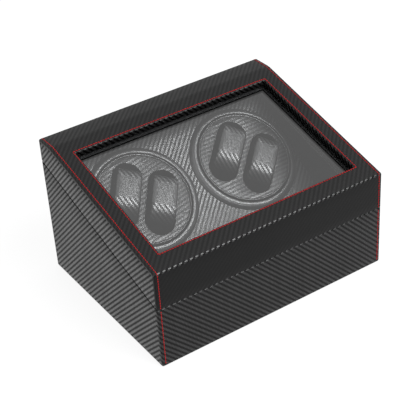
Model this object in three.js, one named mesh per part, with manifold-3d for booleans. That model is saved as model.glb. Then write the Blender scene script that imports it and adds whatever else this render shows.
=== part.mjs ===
// Slant-top watch winder box: a leather-covered wedge box with a windowed lid, two geared
// turntables on an inclined deck, and four watch pillows.
// Millimetres, +Z up. Origin: centre of the underside. The front faces -Y, the hinges are at +Y.
import * as THREE from "three";
import { mergeVertices } from "three/addons/utils/BufferGeometryUtils.js";
import Module from "manifold-3d";

const wasm = await Module();
wasm.setup();

// ---------- driving dimensions ----------
const WIDTH = 330; // outer size across X
const DEPTH = 255; // outer size along Y
const SEAM_FRONT_Z = 83; // lid seam height at the front face
const SEAM_REAR_Z = 160; // lid seam height at the rear face
const TOP_FRONT_Z = 133.5; // top front edge
const TOP_REAR_Z = 191; // flat rear part of the top
const TOP_SLOPE = 0.2547; // rise over run of the sloping top
const SEAM_GAP = 0.8; // between lid and base
const SKIN = 1.2; // leather thickness
const INSET = 1.5; // leather plus bonding gap
const BOARD_T = 10; // fibreboard wall thickness
const GAP = 0.3; // assembly gap
const BOTTOM_Z = 1.3; // underside of the boards

const DECK_ANGLE = THREE.MathUtils.degToRad(36); // tilt of the winder deck
const DECK_Y = 38.2; // point on the turntables' face plane, midway between them
const DECK_Z = 112;
const DECK_DROP = 4.4; // from the turntables' faces down to the deck's top face
const DECK_T = 8;
const TABLE_X = 77; // turntable centres at +-X

const PANEL_Z = 48; // centre height of the rear control plate

// ---------- derived dimensions ----------
const HALF_W = WIDTH / 2;
const HALF_D = DEPTH / 2;
const OUT_X = HALF_W - INSET; // board outer faces
const OUT_Y = HALF_D - INSET;
const IN_X = OUT_X - BOARD_T; // board inner faces
const IN_Y = OUT_Y - BOARD_T;
const SIDE_Y = IN_Y - GAP; // end of a board fitted between the front and rear boards
const SLOPE_ANGLE = Math.atan(TOP_SLOPE);
const SIDES = [["left", -1], ["right", 1]];

const seamZ = (y) => SEAM_FRONT_Z + ((SEAM_REAR_Z - SEAM_FRONT_Z) / DEPTH) * (y + HALF_D);
const baseTopZ = (y) => seamZ(y) - SEAM_GAP / 2;
const lidBottomZ = (y) => seamZ(y) + SEAM_GAP / 2;

// ---------- materials ----------
const material = (settings) => new THREE.MeshStandardMaterial(settings);
const LEATHER = material({ color: 0x1c1c1d, roughness: 0.42 });
const FIBREBOARD = material({ color: 0x6b5138, roughness: 0.85 });
const VELVET = material({ color: 0x0b0b0c, roughness: 0.95 });
const GLOSS_BLACK = material({ color: 0x101011, roughness: 0.18 });
const PLASTIC = material({ color: 0x161617, roughness: 0.5 });
const STEEL = material({ color: 0xb9bcc0, roughness: 0.28, metalness: 1 });
const NICKEL = material({ color: 0xc2c4c6, roughness: 0.25, metalness: 1 });
const BRONZE = material({ color: 0xa5783c, roughness: 0.4, metalness: 1 });
const NYLON = material({ color: 0xe6e2d6, roughness: 0.5 });
const CIRCUIT_BOARD = material({ color: 0x1e5a34, roughness: 0.5 });
const CABLE = material({ color: 0x8a1717, roughness: 0.6 });
const ACRYLIC = material({ color: 0xeef2f4, roughness: 0.03, transparent: true, opacity: 0.25 });

// ---------- solids ----------
// A part is either a BufferGeometry or a Manifold; join and cut take both and give a Manifold.
function solid(part) {
  if (!part.isBufferGeometry) return part;
  const bare = part.index ? part.toNonIndexed() : part.clone();
  bare.deleteAttribute("normal");
  bare.deleteAttribute("uv");
  const merged = mergeVertices(bare, 1e-4);
  return new wasm.Manifold(
    new wasm.Mesh({
      numProp: 3,
      vertProperties: new Float32Array(merged.attributes.position.array),
      triVerts: new Uint32Array(merged.index.array),
    }),
  );
}
const join = (first, ...rest) => rest.reduce((sum, part) => sum.add(solid(part)), solid(first));
const cut = (body, ...tools) =>
  tools.reduce((left, tool) => left.subtract(solid(tool)), solid(body));

function toGeometry(manifold) {
  const mesh = manifold.getMesh();
  const result = new THREE.BufferGeometry();
  const positions = new Float32Array(mesh.vertProperties);
  result.setAttribute("position", new THREE.BufferAttribute(positions, 3));
  result.setIndex(new THREE.BufferAttribute(new Uint32Array(mesh.triVerts), 1));
  result.computeVertexNormals();
  return result;
}

function add(parent, name, part, surface) {
  const mesh = new THREE.Mesh(part.isBufferGeometry ? part : toGeometry(part), surface);
  mesh.name = name;
  parent.add(mesh);
}

function addGroup(parent, x = 0, y = 0, z = 0) {
  const group = new THREE.Group();
  group.position.set(x, y, z);
  parent.add(group);
  return group;
}

// ---------- shapes ----------
const box = (x0, x1, y0, y1, z0, z1) =>
  new THREE.BoxGeometry(x1 - x0, y1 - y0, z1 - z0)
    .translate((x0 + x1) / 2, (y0 + y1) / 2, (z0 + z1) / 2);
const rodZ = (radius, z0, z1, segments, x = 0, y = 0) =>
  new THREE.CylinderGeometry(radius, radius, z1 - z0, segments)
    .rotateX(Math.PI / 2)
    .translate(x, y, (z0 + z1) / 2);
// Coaxial cylinders about Z; each row is [radius, bottom, top, segments].
const rodStack = (rows) => join(...rows.map((row) => rodZ(...row)));

const polygon = (points) => new THREE.Shape(points.map(([x, y]) => new THREE.Vector2(x, y)));
const circle = (radius) => new THREE.Shape().absarc(0, 0, radius, 0, 2 * Math.PI, false);

// A polygon of [y, z] points, extruded from x0 to x1.
function prismX(points, x0, x1) {
  const prism = new THREE.ExtrudeGeometry(polygon(points), { depth: x1 - x0, bevelEnabled: false });
  return prism.applyMatrix4(
    new THREE.Matrix4().set(
      0, 0, 1, x0,
      1, 0, 0, 0,
      0, 1, 0, 0,
      0, 0, 0, 1,
    ),
  );
}
const prismZ = (shape, z0, z1, curveSegments = 12) =>
  new THREE.ExtrudeGeometry(shape, { depth: z1 - z0, bevelEnabled: false, curveSegments })
    .translate(0, 0, z0);

// A profile of [radius, z] points, listed anticlockwise, closed and turned about Z.
const lathe = (profile, segments) =>
  new THREE.LatheGeometry(
    [...profile, profile[0]].map(([radius, z]) => new THREE.Vector2(radius, z)),
    segments,
  ).rotateX(Math.PI / 2);

// A [y, z] outline from y0 to y1, between two heights given as functions of y.
const band = (y0, y1, bottomAt, topAt) =>
  [[y0, bottomAt(y0)], [y1, bottomAt(y1)], [y1, topAt(y1)], [y0, topAt(y0)]];

// A mirrored pair of upright boards or skins lying between |x| = inner and |x| = outer.
function addSidePair(parent, prefix, suffix, profile, inner, outer, surface) {
  add(parent, `${prefix}_left_${suffix}`, prismX(profile, -outer, -inner), surface);
  add(parent, `${prefix}_right_${suffix}`, prismX(profile, inner, outer), surface);
}

const root = new THREE.Group();
const base = addGroup(root);

// ---------- base box ----------
const BOTTOM_T = 9;
const FLOOR_Z = BOTTOM_Z + BOTTOM_T;
const FELT_T = 1;
const FELT_MARGIN = 4;
const LINER_T = 2.7;
const LINER_LIP = 3; // how far the lining stands above the seam
const LINER_OUT_X = IN_X - GAP;
const LINER_OUT_Y = IN_Y - GAP;
const LINER_IN_X = LINER_OUT_X - LINER_T;
const LINER_IN_Y = LINER_OUT_Y - LINER_T;
const OPENING_X = 56; // half size of the rear opening behind the control plate
const OPENING_Z = 15;

const rearOpening = box(
  -OPENING_X, OPENING_X,
  LINER_IN_Y - 5, HALF_D + 5,
  PANEL_Z - OPENING_Z, PANEL_Z + OPENING_Z,
);
const baseBand = (y0, y1) => band(y0, y1, () => BOTTOM_Z, baseTopZ);

add(base, "base_front_panel", prismX(baseBand(-OUT_Y, -IN_Y), -OUT_X, OUT_X), FIBREBOARD);
const rearPanel = prismX(baseBand(IN_Y, OUT_Y), -OUT_X, OUT_X);
add(base, "base_rear_panel", cut(rearPanel, rearOpening), FIBREBOARD);
addSidePair(base, "base", "panel", baseBand(-SIDE_Y, SIDE_Y), IN_X, OUT_X, FIBREBOARD);
add(
  base,
  "base_bottom_panel",
  box(-IN_X + GAP, IN_X - GAP, -SIDE_Y, SIDE_Y, BOTTOM_Z, FLOOR_Z),
  FIBREBOARD,
);
const feltX = HALF_W - FELT_MARGIN;
const feltY = HALF_D - FELT_MARGIN;
add(base, "bottom_felt_sheet", box(-feltX, feltX, -feltY, feltY, 0, FELT_T), VELVET);

add(
  base,
  "base_front_cover",
  prismX(baseBand(-HALF_D, -HALF_D + SKIN), -HALF_W, HALF_W),
  LEATHER,
);
const rearCover = prismX(baseBand(HALF_D - SKIN, HALF_D), -HALF_W, HALF_W);
add(base, "base_rear_cover", cut(rearCover, rearOpening), LEATHER);
addSidePair(base, "base", "cover", baseBand(-OUT_Y, OUT_Y), HALF_W - SKIN, HALF_W, LEATHER);

// Inner lining: four thin boards as one frame, standing a little above the seam.
const linerBand = band(
  -LINER_OUT_Y, LINER_OUT_Y,
  () => FLOOR_Z + GAP,
  (y) => seamZ(y) + LINER_LIP,
);
add(
  base,
  "inner_liner",
  cut(
    prismX(linerBand, -LINER_OUT_X, LINER_OUT_X),
    box(-LINER_IN_X, LINER_IN_X, -LINER_IN_Y, LINER_IN_Y, 0, 300),
    rearOpening,
  ),
  VELVET,
);

// ---------- winder deck ----------
// The deck frame has z = 0 on the turntables' face plane and +Y up the slope.
const DECK_HOLE_R = 66;
const deckFrame = addGroup(base, 0, DECK_Y, DECK_Z);
deckFrame.rotation.x = DECK_ANGLE;
deckFrame.updateMatrixWorld(true);

function winderDeck() {
  // The outline is drawn in the box's frame, where its ends are trimmed upright and level.
  const topAtCentre = DECK_Z - DECK_DROP / Math.cos(DECK_ANGLE);
  const deckTopZ = (y) => topAtCentre + Math.tan(DECK_ANGLE) * (y - DECK_Y);
  const deckTopY = (z) => DECK_Y + (z - topAtCentre) / Math.tan(DECK_ANGLE);
  const uprightT = DECK_T / Math.cos(DECK_ANGLE);
  const rearY = LINER_IN_Y - GAP;
  const lowZ = FLOOR_Z + GAP;
  const halfX = LINER_IN_X - GAP;
  const outline = [
    [rearY, deckTopZ(rearY)],
    [deckTopY(lowZ), lowZ],
    [deckTopY(lowZ + uprightT), lowZ],
    [rearY, deckTopZ(rearY) - uprightT],
  ];
  const toDeck = deckFrame.matrixWorld.clone().invert();
  return cut(
    prismX(outline, -halfX, halfX).applyMatrix4(toDeck),
    rodZ(DECK_HOLE_R, -20, 20, 48, -TABLE_X),
    rodZ(DECK_HOLE_R, -20, 20, 48, TABLE_X),
  );
}
add(deckFrame, "winder_deck", winderDeck(), LEATHER);

// ---------- gear train sizes ----------
const GEAR_MODULE = 1.5;
const GEAR_TEETH = 48;
const PINION_TEETH = 12;
const GEAR_CENTRES = (GEAR_MODULE * (GEAR_TEETH + PINION_TEETH)) / 2 + 0.1;
const PRESSURE_ANGLE = THREE.MathUtils.degToRad(20);
const TOOTH_THINNING = 0.16; // taken off each tooth's thickness at the pitch circle
const GEAR_TIP_R = 37;
const GEAR_ROOT_R = 34;
const PINION_TIP_R = 10.4;
const PINION_ROOT_R = 7;
const MOTOR_X = TABLE_X - GEAR_CENTRES; // motor centres at +-X
const AXLE_R = 3;

// ---------- chassis: a plate under the deck on six legs ----------
const CHASSIS_TOP = -53;
const CHASSIS_BOTTOM = -56;
const CHASSIS_X = 146;
const CHASSIS_Y = [-45, 42];
const LEG_R = 4;
const LEG_XS = [-138, 0, 138];
const LEG_YS = [36, -39];
const LEG_TOP = -DECK_DROP - DECK_T - GAP;
const BUSH_HOLE_R = 6;
const PINION_HOLE_R = 5;

const chassisLegs = LEG_XS.flatMap((x) =>
  LEG_YS.map((y) => rodZ(LEG_R, CHASSIS_TOP - 1, LEG_TOP, 12, x, y)),
);
const chassisHoles = SIDES.flatMap(([, sign]) => [
  rodZ(BUSH_HOLE_R, -70, -40, 16, sign * TABLE_X),
  rodZ(PINION_HOLE_R, -70, -40, 16, sign * MOTOR_X),
]);
const chassisPlate = box(-CHASSIS_X, CHASSIS_X, ...CHASSIS_Y, CHASSIS_BOTTOM, CHASSIS_TOP);
add(deckFrame, "winder_chassis", cut(join(chassisPlate, ...chassisLegs), ...chassisHoles), PLASTIC);

// ---------- turntables ----------
const BEZEL_IN_R = 64;
const BEZEL_NECK_R = 65.4; // the part that passes through the deck hole
const BEZEL_OUT_R = 73;
const BEZEL_BOTTOM = -11;
const BEZEL_SEAT = GAP - DECK_DROP;
const FACE_R = 59.6;
const FACE_BOTTOM = -2.6;
const FACE_TOP = 0.8;
const DRUM_R = 61.4;
const DRUM_WALL = 1.6;
const DRUM_TOP = 1.4;
const DRUM_BOTTOM = -38;
const WEB_BOTTOM = -5;
const HUB_R = 40;
const HUB_BOTTOM = -40;
const SLOT_L = 90; // watch slot length and width
const SLOT_W = 38.5;
const SLOT_OFFSETS = [-23.1, 23.1]; // slot centre lines from the turntable's centre
const SLOT_ANGLE = { left: 34, right: 43.5 }; // clockwise from up-slope, in degrees
const SLOT_END_STEPS = 7;
const POCKET_DEPTH = 36;
const POCKET_WALL = 1.5;
const GEAR_TOP = HUB_BOTTOM - GAP;
const GEAR_T = 6;
const BUSH_BOTTOM = -58.3;
const LEAD_START_Z = -84.6; // just under the motor's tail

// [radius, z], bottom inner corner first
const BEZEL_PROFILE = [
  [BEZEL_IN_R, BEZEL_BOTTOM], [BEZEL_NECK_R, BEZEL_BOTTOM],
  [BEZEL_NECK_R, BEZEL_SEAT], [BEZEL_OUT_R, BEZEL_SEAT],
  [72.8, -3.6], [69.2, -0.1], [68.2, 0.7], [64.6, 0.7], [BEZEL_IN_R, 0.2],
];
// [radius, z]: a sleeve in the chassis hole with a flange above the plate
const BUSH_PROFILE = [
  [AXLE_R + GAP, BUSH_BOTTOM], [BUSH_HOLE_R - GAP, BUSH_BOTTOM],
  [BUSH_HOLE_R - GAP, CHASSIS_TOP + GAP], [8, CHASSIS_TOP + GAP],
  [8, -51], [AXLE_R + GAP, -51],
];
// [radius, bottom, top, segments]: axle, then the collar under the bush
const AXLE_STACK = [
  [AXLE_R, -61, GEAR_TOP, 16],
  [4.6, -60.2, BUSH_BOTTOM - GAP, 16],
];
// [radius, bottom, top, segments]: gearbox, motor can, tail boss
const MOTOR_STACK = [
  [14, -65, CHASSIS_BOTTOM - GAP, 24],
  [12, -82, -64, 24],
  [4, -84, -81, 12],
];
// [radius, bottom, top, segments]: pinion boss, then its shaft
const PINION_STACK = [
  [3.4, -48.5, -46, 12],
  [1.5, CHASSIS_BOTTOM, -48, 12],
];

// A round-ended slot outline beside the centre line, turned clockwise by an angle in degrees.
function slotShape(offset, angle, grow = 0) {
  const radius = SLOT_W / 2 + grow;
  const endY = SLOT_L / 2 - SLOT_W / 2;
  const points = [];
  for (const end of [1, -1])
    for (let i = 0; i <= SLOT_END_STEPS; i++) {
      const around = (Math.PI * i) / SLOT_END_STEPS;
      const x = offset + end * radius * Math.cos(around);
      points.push([x, end * (endY + radius * Math.sin(around))]);
    }
  const cos = Math.cos(THREE.MathUtils.degToRad(-angle));
  const sin = Math.sin(THREE.MathUtils.degToRad(-angle));
  return polygon(points.map(([x, y]) => [x * cos - y * sin, x * sin + y * cos]));
}
const slotPrisms = (angle, z0, z1, grow) =>
  SLOT_OFFSETS.map((offset) => prismZ(slotShape(offset, angle, grow), z0, z1));

// Involute spur gear outline with one tooth centred on the angle `phase`.
function gearShape(teeth, tipR, rootR, phase) {
  const pitchR = (GEAR_MODULE * teeth) / 2;
  const baseR = pitchR * Math.cos(PRESSURE_ANGLE);
  const involute = (angle) => Math.tan(angle) - angle;
  const halfTooth = (Math.PI * GEAR_MODULE) / 4 - TOOTH_THINNING / 2;
  const halfAngleAt = (radius) =>
    halfTooth / pitchR +
    involute(PRESSURE_ANGLE) -
    (radius > baseR ? involute(Math.acos(baseR / radius)) : 0);
  // The flank is radial below the base circle, so it needs a point there.
  const radii =
    rootR < baseR
      ? [rootR, baseR, (baseR + tipR) / 2, tipR]
      : [rootR, (rootR + tipR) / 2, tipR];
  const points = [];
  const addPoint = (radius, angle) =>
    points.push([radius * Math.cos(angle), radius * Math.sin(angle)]);
  for (let i = 0; i < teeth; i++) {
    const centre = phase + (2 * Math.PI * i) / teeth;
    for (const radius of radii) addPoint(radius, centre - halfAngleAt(radius));
    for (const radius of radii.toReversed()) addPoint(radius, centre + halfAngleAt(radius));
  }
  return polygon(points);
}

const faceplate = (angle) =>
  cut(prismZ(circle(FACE_R), FACE_BOTTOM, FACE_TOP, 24), ...slotPrisms(angle, -10, 10));

// Rim wall, web, two pocket cups and a hub disc, open underneath round the cups.
function turntableDrum(angle) {
  const shell = cut(
    rodZ(DRUM_R, DRUM_BOTTOM, DRUM_TOP, 48),
    rodZ(FACE_R + GAP, FACE_BOTTOM - GAP, 5, 48),
    rodZ(DRUM_R - DRUM_WALL, -50, WEB_BOTTOM, 48),
  );
  const cups = slotPrisms(angle, DRUM_BOTTOM, WEB_BOTTOM + 1, POCKET_WALL);
  const hub = rodZ(HUB_R, HUB_BOTTOM, DRUM_BOTTOM + 0.5, 32);
  return cut(join(shell, ...cups, hub), ...slotPrisms(angle, -POCKET_DEPTH, 5));
}

const turntableGear = (phase) =>
  cut(
    join(
      prismZ(gearShape(GEAR_TEETH, GEAR_TIP_R, GEAR_ROOT_R, phase), GEAR_TOP - GEAR_T, GEAR_TOP),
      rodZ(6.5, -49.7, -46, 16),
    ),
    rodZ(AXLE_R + GAP, -60, -30, 16),
  );

const motorPinion = (phase) =>
  join(
    prismZ(gearShape(PINION_TEETH, PINION_TIP_R, PINION_ROOT_R, phase), -46.5, -41),
    rodStack(PINION_STACK),
  );

// ---------- watch pillows: rounded blocks standing proud of the faceplate ----------
const PILLOW_L = 64;
const PILLOW_W = 32.5;
const PILLOW_TOP = 18;
const PILLOW_BOTTOM = -35.5;
const PILLOW_TOP_R = 17;
const PILLOW_BOTTOM_R = 14;

function watchPillow(offset, angle) {
  const topY = PILLOW_L / 2 - PILLOW_TOP_R;
  const bottomY = PILLOW_L / 2 - PILLOW_BOTTOM_R;
  const topZ = PILLOW_TOP - PILLOW_TOP_R;
  const bottomZ = PILLOW_BOTTOM + PILLOW_BOTTOM_R;
  // corner centre y, z, radius, steps; each corner turns one quarter further
  const corners = [
    [topY, topZ, PILLOW_TOP_R, 4],
    [-topY, topZ, PILLOW_TOP_R, 4],
    [-bottomY, bottomZ, PILLOW_BOTTOM_R, 3],
    [bottomY, bottomZ, PILLOW_BOTTOM_R, 3],
  ];
  const profile = corners.flatMap(([y, z, radius, steps], quarter) =>
    Array.from({ length: steps + 1 }, (_, i) => {
      const around = (Math.PI / 2) * (quarter + i / steps);
      return [y + radius * Math.cos(around), z + radius * Math.sin(around)];
    }),
  );
  return prismX(profile, offset - PILLOW_W / 2, offset + PILLOW_W / 2)
    .rotateZ(THREE.MathUtils.degToRad(-angle));
}

for (const [side, sign] of SIDES) {
  const angle = SLOT_ANGLE[side];
  const table = addGroup(deckFrame, sign * TABLE_X);
  // A gear tooth points at the pinion, and a gap between pinion teeth faces it.
  const gearPhase = sign < 0 ? 0 : Math.PI;
  const pinionPhase = Math.PI - gearPhase + Math.PI / PINION_TEETH;

  add(table, `bezel_ring_${side}`, lathe(BEZEL_PROFILE, 48), GLOSS_BLACK);
  add(table, `turntable_face_${side}`, faceplate(angle), LEATHER);
  add(table, `turntable_drum_${side}`, turntableDrum(angle), GLOSS_BLACK);
  add(table, `turntable_gear_${side}`, turntableGear(gearPhase), NYLON);
  add(table, `turntable_axle_${side}`, rodStack(AXLE_STACK), STEEL);
  add(table, `bearing_bush_${side}`, lathe(BUSH_PROFILE, 16), BRONZE);

  const drive = addGroup(deckFrame, sign * MOTOR_X);
  add(drive, `motor_pinion_${side}`, motorPinion(pinionPhase), NYLON);
  add(drive, `gear_motor_${side}`, rodStack(MOTOR_STACK), STEEL);

  ["a", "b"].forEach((tag, i) =>
    add(table, `watch_pillow_${side}_${tag}`, watchPillow(SLOT_OFFSETS[i], angle), LEATHER),
  );
}

// ---------- rear controls ----------
const rear = addGroup(base);
const SOCKET_X = -44;
const SWITCH_X = -14;
const KNOB_X = { left: 42, right: 16 }; // as seen from the rear, where +X is to the left
const PLATE_IN = HALF_D + GAP;
const PLATE_OUT = PLATE_IN + 2;
const PCB_FRONT = 104;
const PCB_BACK = 105.6;
const SELECTOR_BACK = 125; // rear of the rotary switches' bodies

// Parts centred on the plate's middle height.
const panelRod = (radius, y0, y1, x, segments = 20) =>
  new THREE.CylinderGeometry(radius, radius, y1 - y0, segments)
    .translate(x, (y0 + y1) / 2, PANEL_Z);
const panelBox = (x, halfX, y0, y1, halfZ) =>
  box(x - halfX, x + halfX, y0, y1, PANEL_Z - halfZ, PANEL_Z + halfZ);

add(
  rear,
  "control_plate",
  cut(
    panelBox(0, 62, PLATE_IN, PLATE_OUT, 21),
    panelRod(5.4, PLATE_IN - 5, PLATE_OUT + 5, SOCKET_X),
    panelBox(SWITCH_X, 7, PLATE_IN - 5, PLATE_OUT + 5, 10),
    panelRod(3.6, PLATE_IN - 5, PLATE_OUT + 5, KNOB_X.left),
    panelRod(3.6, PLATE_IN - 5, PLATE_OUT + 5, KNOB_X.right),
  ),
  PLASTIC,
);

// Barrel and flange, bored out, with a centre pin.
const socketBody = join(
  panelRod(5, 110, PLATE_OUT + 1.4, SOCKET_X),
  panelRod(6.8, PLATE_OUT + GAP, PLATE_OUT + 1.4, SOCKET_X),
);
add(
  rear,
  "dc_socket",
  join(
    cut(socketBody, panelRod(2.9, PLATE_OUT - 8, PLATE_OUT + 5, SOCKET_X)),
    panelRod(0.9, PLATE_OUT - 9, PLATE_OUT - 0.5, SOCKET_X, 12),
  ),
  PLASTIC,
);

// Flange and body, hollowed from the rear.
add(
  rear,
  "power_switch_frame",
  cut(
    join(
      panelBox(SWITCH_X, 8.5, PLATE_OUT + GAP, PLATE_OUT + 1.7, 11.5),
      panelBox(SWITCH_X, 6.6, 112, PLATE_OUT + 1, 9.6),
    ),
    panelBox(SWITCH_X, 5.2, 121, PLATE_OUT + 5, 8.2),
  ),
  PLASTIC,
);

// Rocker in the off position. Its [y, z] profile is about the pivot, which lies along X.
const ROCKER_PROFILE = [
  [-3.2, -3], [-3.2, 3], [0.6, 7.4], [3.2, 7.2], [1.6, 0], [3.2, -7.2], [0.6, -7.4],
];
const ROCKER_HALF_W = 4.8;
const ROCKER_TILT = THREE.MathUtils.degToRad(-9);
const rocker = prismX(ROCKER_PROFILE, -ROCKER_HALF_W, ROCKER_HALF_W)
  .rotateX(ROCKER_TILT)
  .translate(SWITCH_X, PLATE_OUT - 0.6, PANEL_Z);
add(rear, "power_rocker", solid(rocker), PLASTIC);

// Knob skirt, cap, raised pointer and spindle.
const modeKnob = (x) =>
  join(
    panelRod(8.5, PLATE_OUT + 1, PLATE_OUT + 9, x),
    panelRod(7.6, PLATE_OUT + 8, PLATE_OUT + 12, x),
    box(x - 0.8, x + 0.8, PLATE_OUT + 2, PLATE_OUT + 12.6, PANEL_Z, PANEL_Z + 7.2),
    panelRod(3, SELECTOR_BACK + GAP, PLATE_OUT + 2, x, 12),
  );
for (const [side] of SIDES) add(rear, `mode_knob_${side}`, modeKnob(KNOB_X[side]), PLASTIC);

// Blocks on the board's front face: x0, x1, front y, then bottom and top from the panel centre.
const BOARD_BLOCKS = [
  [-40, -26, 101, -6, 8],
  [-4, 6, 102, -5, 5],
  [-52, -47, 100, -14, 2],
  [20, 26, 100.5, 8, 14],
];
// Circuit board with the two rotary switches soldered to it.
add(
  rear,
  "control_board",
  join(
    panelBox(0, 54, PCB_FRONT, PCB_BACK, 18),
    panelBox(KNOB_X.left, 8, PCB_FRONT + 1, SELECTOR_BACK, 8),
    panelBox(KNOB_X.right, 8, PCB_FRONT + 1, SELECTOR_BACK, 8),
    ...BOARD_BLOCKS.map(([x0, x1, frontY, bottom, top]) =>
      box(x0, x1, frontY, PCB_FRONT + 0.5, PANEL_Z + bottom, PANEL_Z + top),
    ),
  ),
  CIRCUIT_BOARD,
);

// Motor leads, from each motor's tail to the board.
const LEAD_R = 1.1;
function motorLead(sign) {
  const { x, y, z } = new THREE.Vector3(sign * MOTOR_X, 0, LEAD_START_Z)
    .applyMatrix4(deckFrame.matrixWorld);
  // outward x offset from the motor, y, z
  const route = [
    [0, y, z],
    [0, y + 2.2, z - 4],
    [5, y + 4, 33],
    [12, y + 8, 32],
    [13, PCB_FRONT - 0.6, 34.5],
  ];
  const extrudePath = new THREE.CatmullRomCurve3(
    route.map(([out, pointY, pointZ]) => new THREE.Vector3(x + sign * out, pointY, pointZ)),
  );
  return new THREE.ExtrudeGeometry(circle(LEAD_R), { steps: 14, extrudePath, curveSegments: 3 });
}
for (const [side, sign] of SIDES) add(base, `motor_lead_${side}`, motorLead(sign), CABLE);

// ---------- lid ----------
const lid = addGroup(root);
const LID_RELIEF = 1.2; // the rear rail stands clear of the lining lip as the lid swings
const RAIL_Y = IN_Y + LID_RELIEF;
const RAIL_X = IN_X - GAP;
const FRAME_T = 7;
const FRAME_UNDER = INSET + FRAME_T; // depth of the frame board's underside
const WIN_X = 141; // half width of the window opening
const WIN_START = 26; // measured up the slope from the front edge
const WIN_END = 211.5;
const PANE_LAP = 4;
const PANE_TOP = -FRAME_UNDER - GAP;
const PANE_BOTTOM = PANE_TOP - 3;
const RETAINER_TOP = PANE_BOTTOM - GAP;
const RETAINER_BOTTOM = RETAINER_TOP - 2.5;
const RETAINER_INSET = 2.5; // how far the retainer shows inside the opening

// The height of a face lying `depth` under the sloping top, and where it meets the flat part.
const slopeZ = (y, depth) =>
  TOP_FRONT_Z - depth / Math.cos(SLOPE_ANGLE) + TOP_SLOPE * (y + HALF_D);
const bendY = (depth) =>
  (TOP_REAR_Z - depth - TOP_FRONT_Z + depth / Math.cos(SLOPE_ANGLE)) / TOP_SLOPE - HALF_D;

// A box in the sloping top's frame: start and end run up the slope from the front edge,
// low and high are measured outward from the surface.
const slopeBox = (halfX, start, end, low, high) =>
  box(-halfX, halfX, start, end, low, high)
    .rotateX(SLOPE_ANGLE)
    .translate(0, -HALF_D, TOP_FRONT_Z);
const windowOpening = slopeBox(WIN_X, WIN_START, WIN_END, -40, 10);

const frontRail = band(-OUT_Y, -IN_Y, lidBottomZ, (y) => slopeZ(y, INSET));
add(lid, "lid_front_rail", prismX(frontRail, -RAIL_X, RAIL_X), FIBREBOARD);
const rearRail = band(RAIL_Y, OUT_Y, lidBottomZ, () => TOP_REAR_Z - INSET);
add(lid, "lid_rear_rail", prismX(rearRail, -RAIL_X, RAIL_X), FIBREBOARD);

const lidSide = [
  [-OUT_Y, lidBottomZ(-OUT_Y)],
  [OUT_Y, lidBottomZ(OUT_Y)],
  [OUT_Y, TOP_REAR_Z - INSET],
  [bendY(INSET), TOP_REAR_Z - INSET],
  [-OUT_Y, slopeZ(-OUT_Y, INSET)],
];
addSidePair(lid, "lid", "side", lidSide, IN_X, OUT_X, FIBREBOARD);

const topFrame = [
  [-SIDE_Y, slopeZ(-SIDE_Y, FRAME_UNDER)],
  [bendY(FRAME_UNDER), TOP_REAR_Z - FRAME_UNDER],
  [SIDE_Y, TOP_REAR_Z - FRAME_UNDER],
  [SIDE_Y, TOP_REAR_Z - INSET],
  [bendY(INSET), TOP_REAR_Z - INSET],
  [-SIDE_Y, slopeZ(-SIDE_Y, INSET)],
];
add(lid, "lid_top_frame", cut(prismX(topFrame, -RAIL_X, RAIL_X), windowOpening), FIBREBOARD);

// One skin over the front, top and rear: inner face first, then the outer face back again.
const SKIN_Y = HALF_D - SKIN;
const topCover = [
  [-HALF_D, lidBottomZ(-HALF_D)],
  [-SKIN_Y, lidBottomZ(-SKIN_Y)],
  [-SKIN_Y, slopeZ(-SKIN_Y, SKIN)],
  [bendY(SKIN), TOP_REAR_Z - SKIN],
  [SKIN_Y, TOP_REAR_Z - SKIN],
  [SKIN_Y, lidBottomZ(SKIN_Y)],
  [HALF_D, lidBottomZ(HALF_D)],
  [HALF_D, TOP_REAR_Z],
  [bendY(0), TOP_REAR_Z],
  [-HALF_D, TOP_FRONT_Z],
];
add(lid, "lid_top_cover", cut(prismX(topCover, -HALF_W, HALF_W), windowOpening), LEATHER);
addSidePair(lid, "lid", "cover", lidSide, HALF_W - SKIN, HALF_W, LEATHER);

// The pane lies under the frame board, and the retainer under the pane.
add(
  lid,
  "window_pane",
  slopeBox(WIN_X + PANE_LAP, WIN_START - PANE_LAP, WIN_END + PANE_LAP, PANE_BOTTOM, PANE_TOP),
  ACRYLIC,
);
add(
  lid,
  "window_retainer",
  cut(
    slopeBox(WIN_X + 8, WIN_START - 9, WIN_END + 8, RETAINER_BOTTOM, RETAINER_TOP),
    slopeBox(
      WIN_X - RETAINER_INSET,
      WIN_START + RETAINER_INSET,
      WIN_END - RETAINER_INSET,
      -30, 10,
    ),
  ),
  VELVET,
);

// ---------- hinges ----------
const HINGE_X = 95;
const HINGE_Y = HALF_D + 3.4;
const HINGE_Z = SEAM_REAR_Z;
const LEAF_HALF_W = 15;
const LEAF_IN = HALF_D + GAP;
const LEAF_OUT = LEAF_IN + 1.2;
const LEAF_HEIGHTS = [3.6, 19]; // from the pin, up or down
const ARM_HEIGHTS = [1.6, 4.4]; // the arm from leaf to knuckle
const KNUCKLE_R = 2.7;
const BORE_R = 1.5;
const PIN_R = 1.2;
// Knuckle spans along X from the hinge's centre.
const BASE_KNUCKLES = [[-LEAF_HALF_W, -5], [5, LEAF_HALF_W]];
const LID_KNUCKLES = [[-4.6, 4.6]];

const hingeRod = (radius, x0, x1, segments) =>
  new THREE.CylinderGeometry(radius, radius, x1 - x0, segments)
    .rotateZ(Math.PI / 2)
    .translate((x0 + x1) / 2, HINGE_Y, HINGE_Z);

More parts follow.
